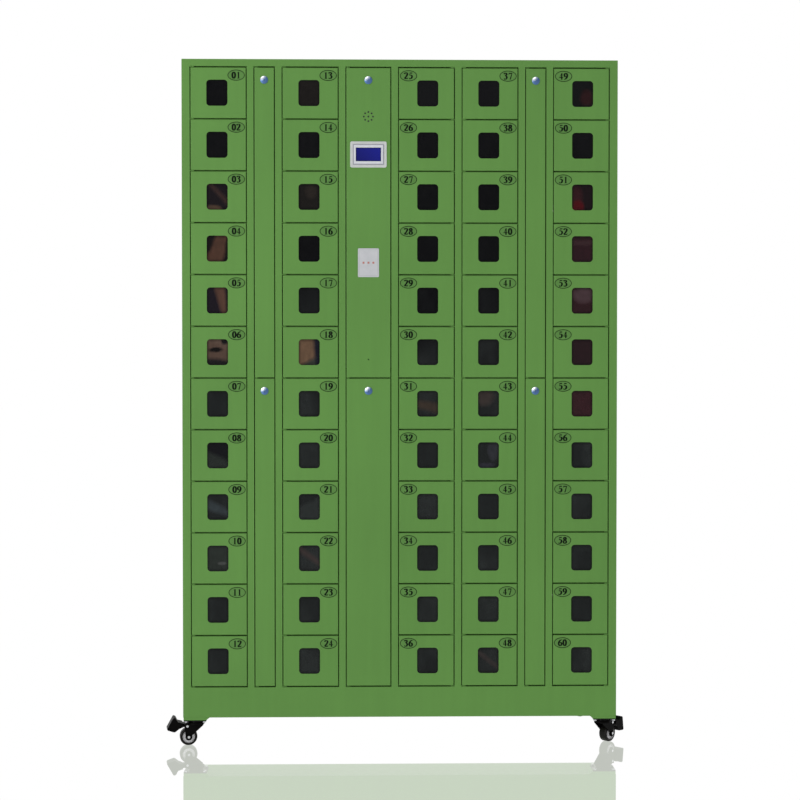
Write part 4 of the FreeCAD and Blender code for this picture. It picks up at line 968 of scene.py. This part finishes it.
FLOOR_SHEEN = 0.495  # share of the floor's look that is a mirror
MIRROR_TINT = (0.955, 0.909, 1.0)
FLOOR_REACH = 40.0
FLOOR_DEPTH = 0.5 * MM  # how far the floor lies under the wheels
ROOM_LOW = (0.56, 0.57, 0.58, 1)  # the room behind the camera, near the floor
ROOM_HIGH = (0.44, 0.45, 0.47, 1)
LIGHTS = {  # place, aim, size and power
    "key": ((-3.0, -3.6, 1.7), (0, 0, 0.9), 2.0, 48),
    "fill": ((0.4, -4.6, 3.6), (0.1, 0, 0.7), 2.4, 12),
    "top": ((0, -0.8, 4.2), (0, 0, 1.2), 2.0, 5),
}
CAMERA_PLACE = (-0.092, -4.70, 1.0836)
CAMERA_YAW = 0.0203  # radians to the right of straight ahead
CAMERA_PITCH = -0.0199
CAMERA_LENS = 70.8


def studio():
    """A white floor that mirrors a little where it is seen from the front, in a white room that
    is dimmer behind the camera."""
    floor_mesh = bpy.data.meshes.new("floor")
    signs = ((-1, -1), (1, -1), (1, 1), (-1, 1))
    corners = [(FLOOR_REACH * x, FLOOR_REACH * y, 0) for x, y in signs]
    floor_mesh.from_pydata(corners, [], [(0, 1, 2, 3)])
    floor = bpy.data.objects.new("floor", floor_mesh)
    floor.location.z = -FLOOR_DEPTH
    scene.collection.objects.link(floor)
    made, t = material("floor")
    # The glow makes up for the mirror's tint, so that a mirrored white room stays white.
    makes_up = ((1 - FLOOR_SHEEN * tint) / (1 - FLOOR_SHEEN) for tint in MIRROR_TINT)
    glow = t.node("ShaderNodeEmission", {"Color": (*makes_up, 1), "Strength": 1.0})
    mirror = t.node("ShaderNodeBsdfGlossy", {"Color": (*MIRROR_TINT, 1), "Roughness": 0.02})
    polished = t.blend_shaders(FLOOR_SHEEN, glow.outputs[0], mirror.outputs[0])
    white = t.node("ShaderNodeEmission", {"Color": WHITE}).outputs[0]
    toward_eye = t.node("ShaderNodeNewGeometry").outputs["Incoming"]
    eye_y = t.node("ShaderNodeSeparateXYZ", {"Vector": toward_eye}).outputs["Y"]
    seen = t.node("ShaderNodeLightPath").outputs["Is Camera Ray"]
    from_behind = t.math("MULTIPLY", t.ramp(eye_y, 0.0, 1.0, -0.2, 0.0), seen)
    t.surface(t.blend_shaders(from_behind, polished, white))
    floor_mesh.materials.append(made)

    world = bpy.data.worlds.new("studio")
    scene.world = world
    t = Tree(world)
    ray = t.node("ShaderNodeTexCoord").outputs["Generated"]
    along = t.node("ShaderNodeSeparateXYZ", {"Vector": ray})
    behind_object = t.ramp(along.outputs["Y"], 0.0, 1.0, -0.05, 0.12)
    dim = t.mix(t.ramp(along.outputs["Z"], 0.0, 1.0, -0.1, 0.5), ROOM_LOW, ROOM_HIGH)
    seen = t.node("ShaderNodeLightPath").outputs["Is Camera Ray"]
    colour = t.mix(seen, t.mix(behind_object, dim, WHITE), WHITE)
    t.surface(t.node("ShaderNodeBackground", {"Color": colour, "Strength": 1.0}).outputs[0])


def area_light(name, where, aim, size, power):
    data = bpy.data.lights.new(name, "AREA")
    data.energy = power
    data.size = size
    lamp = bpy.data.objects.new(name, data)
    lamp.location = where
    lamp.rotation_mode = "QUATERNION"
    lamp.rotation_quaternion = (Vector(aim) - Vector(where)).to_track_quat("-Z", "Y")
    scene.collection.objects.link(lamp)


def camera():
    """A camera in front of the object, as in the photograph."""
    data = bpy.data.cameras.new("camera")
    data.sensor_width = 36.0
    data.lens = CAMERA_LENS
    data.clip_end = 200
    made = bpy.data.objects.new("camera", data)
    made.location = CAMERA_PLACE
    level = math.cos(CAMERA_PITCH)
    ahead = Vector((
        math.sin(CAMERA_YAW) * level, math.cos(CAMERA_YAW) * level, math.sin(CAMERA_PITCH)
    ))
    made.rotation_mode = "QUATERNION"
    made.rotation_quaternion = ahead.to_track_quat("-Z", "Y")
    scene.collection.objects.link(made)
    scene.camera = made


studio()
for name, settings in LIGHTS.items():
    area_light(name, *settings)
camera()
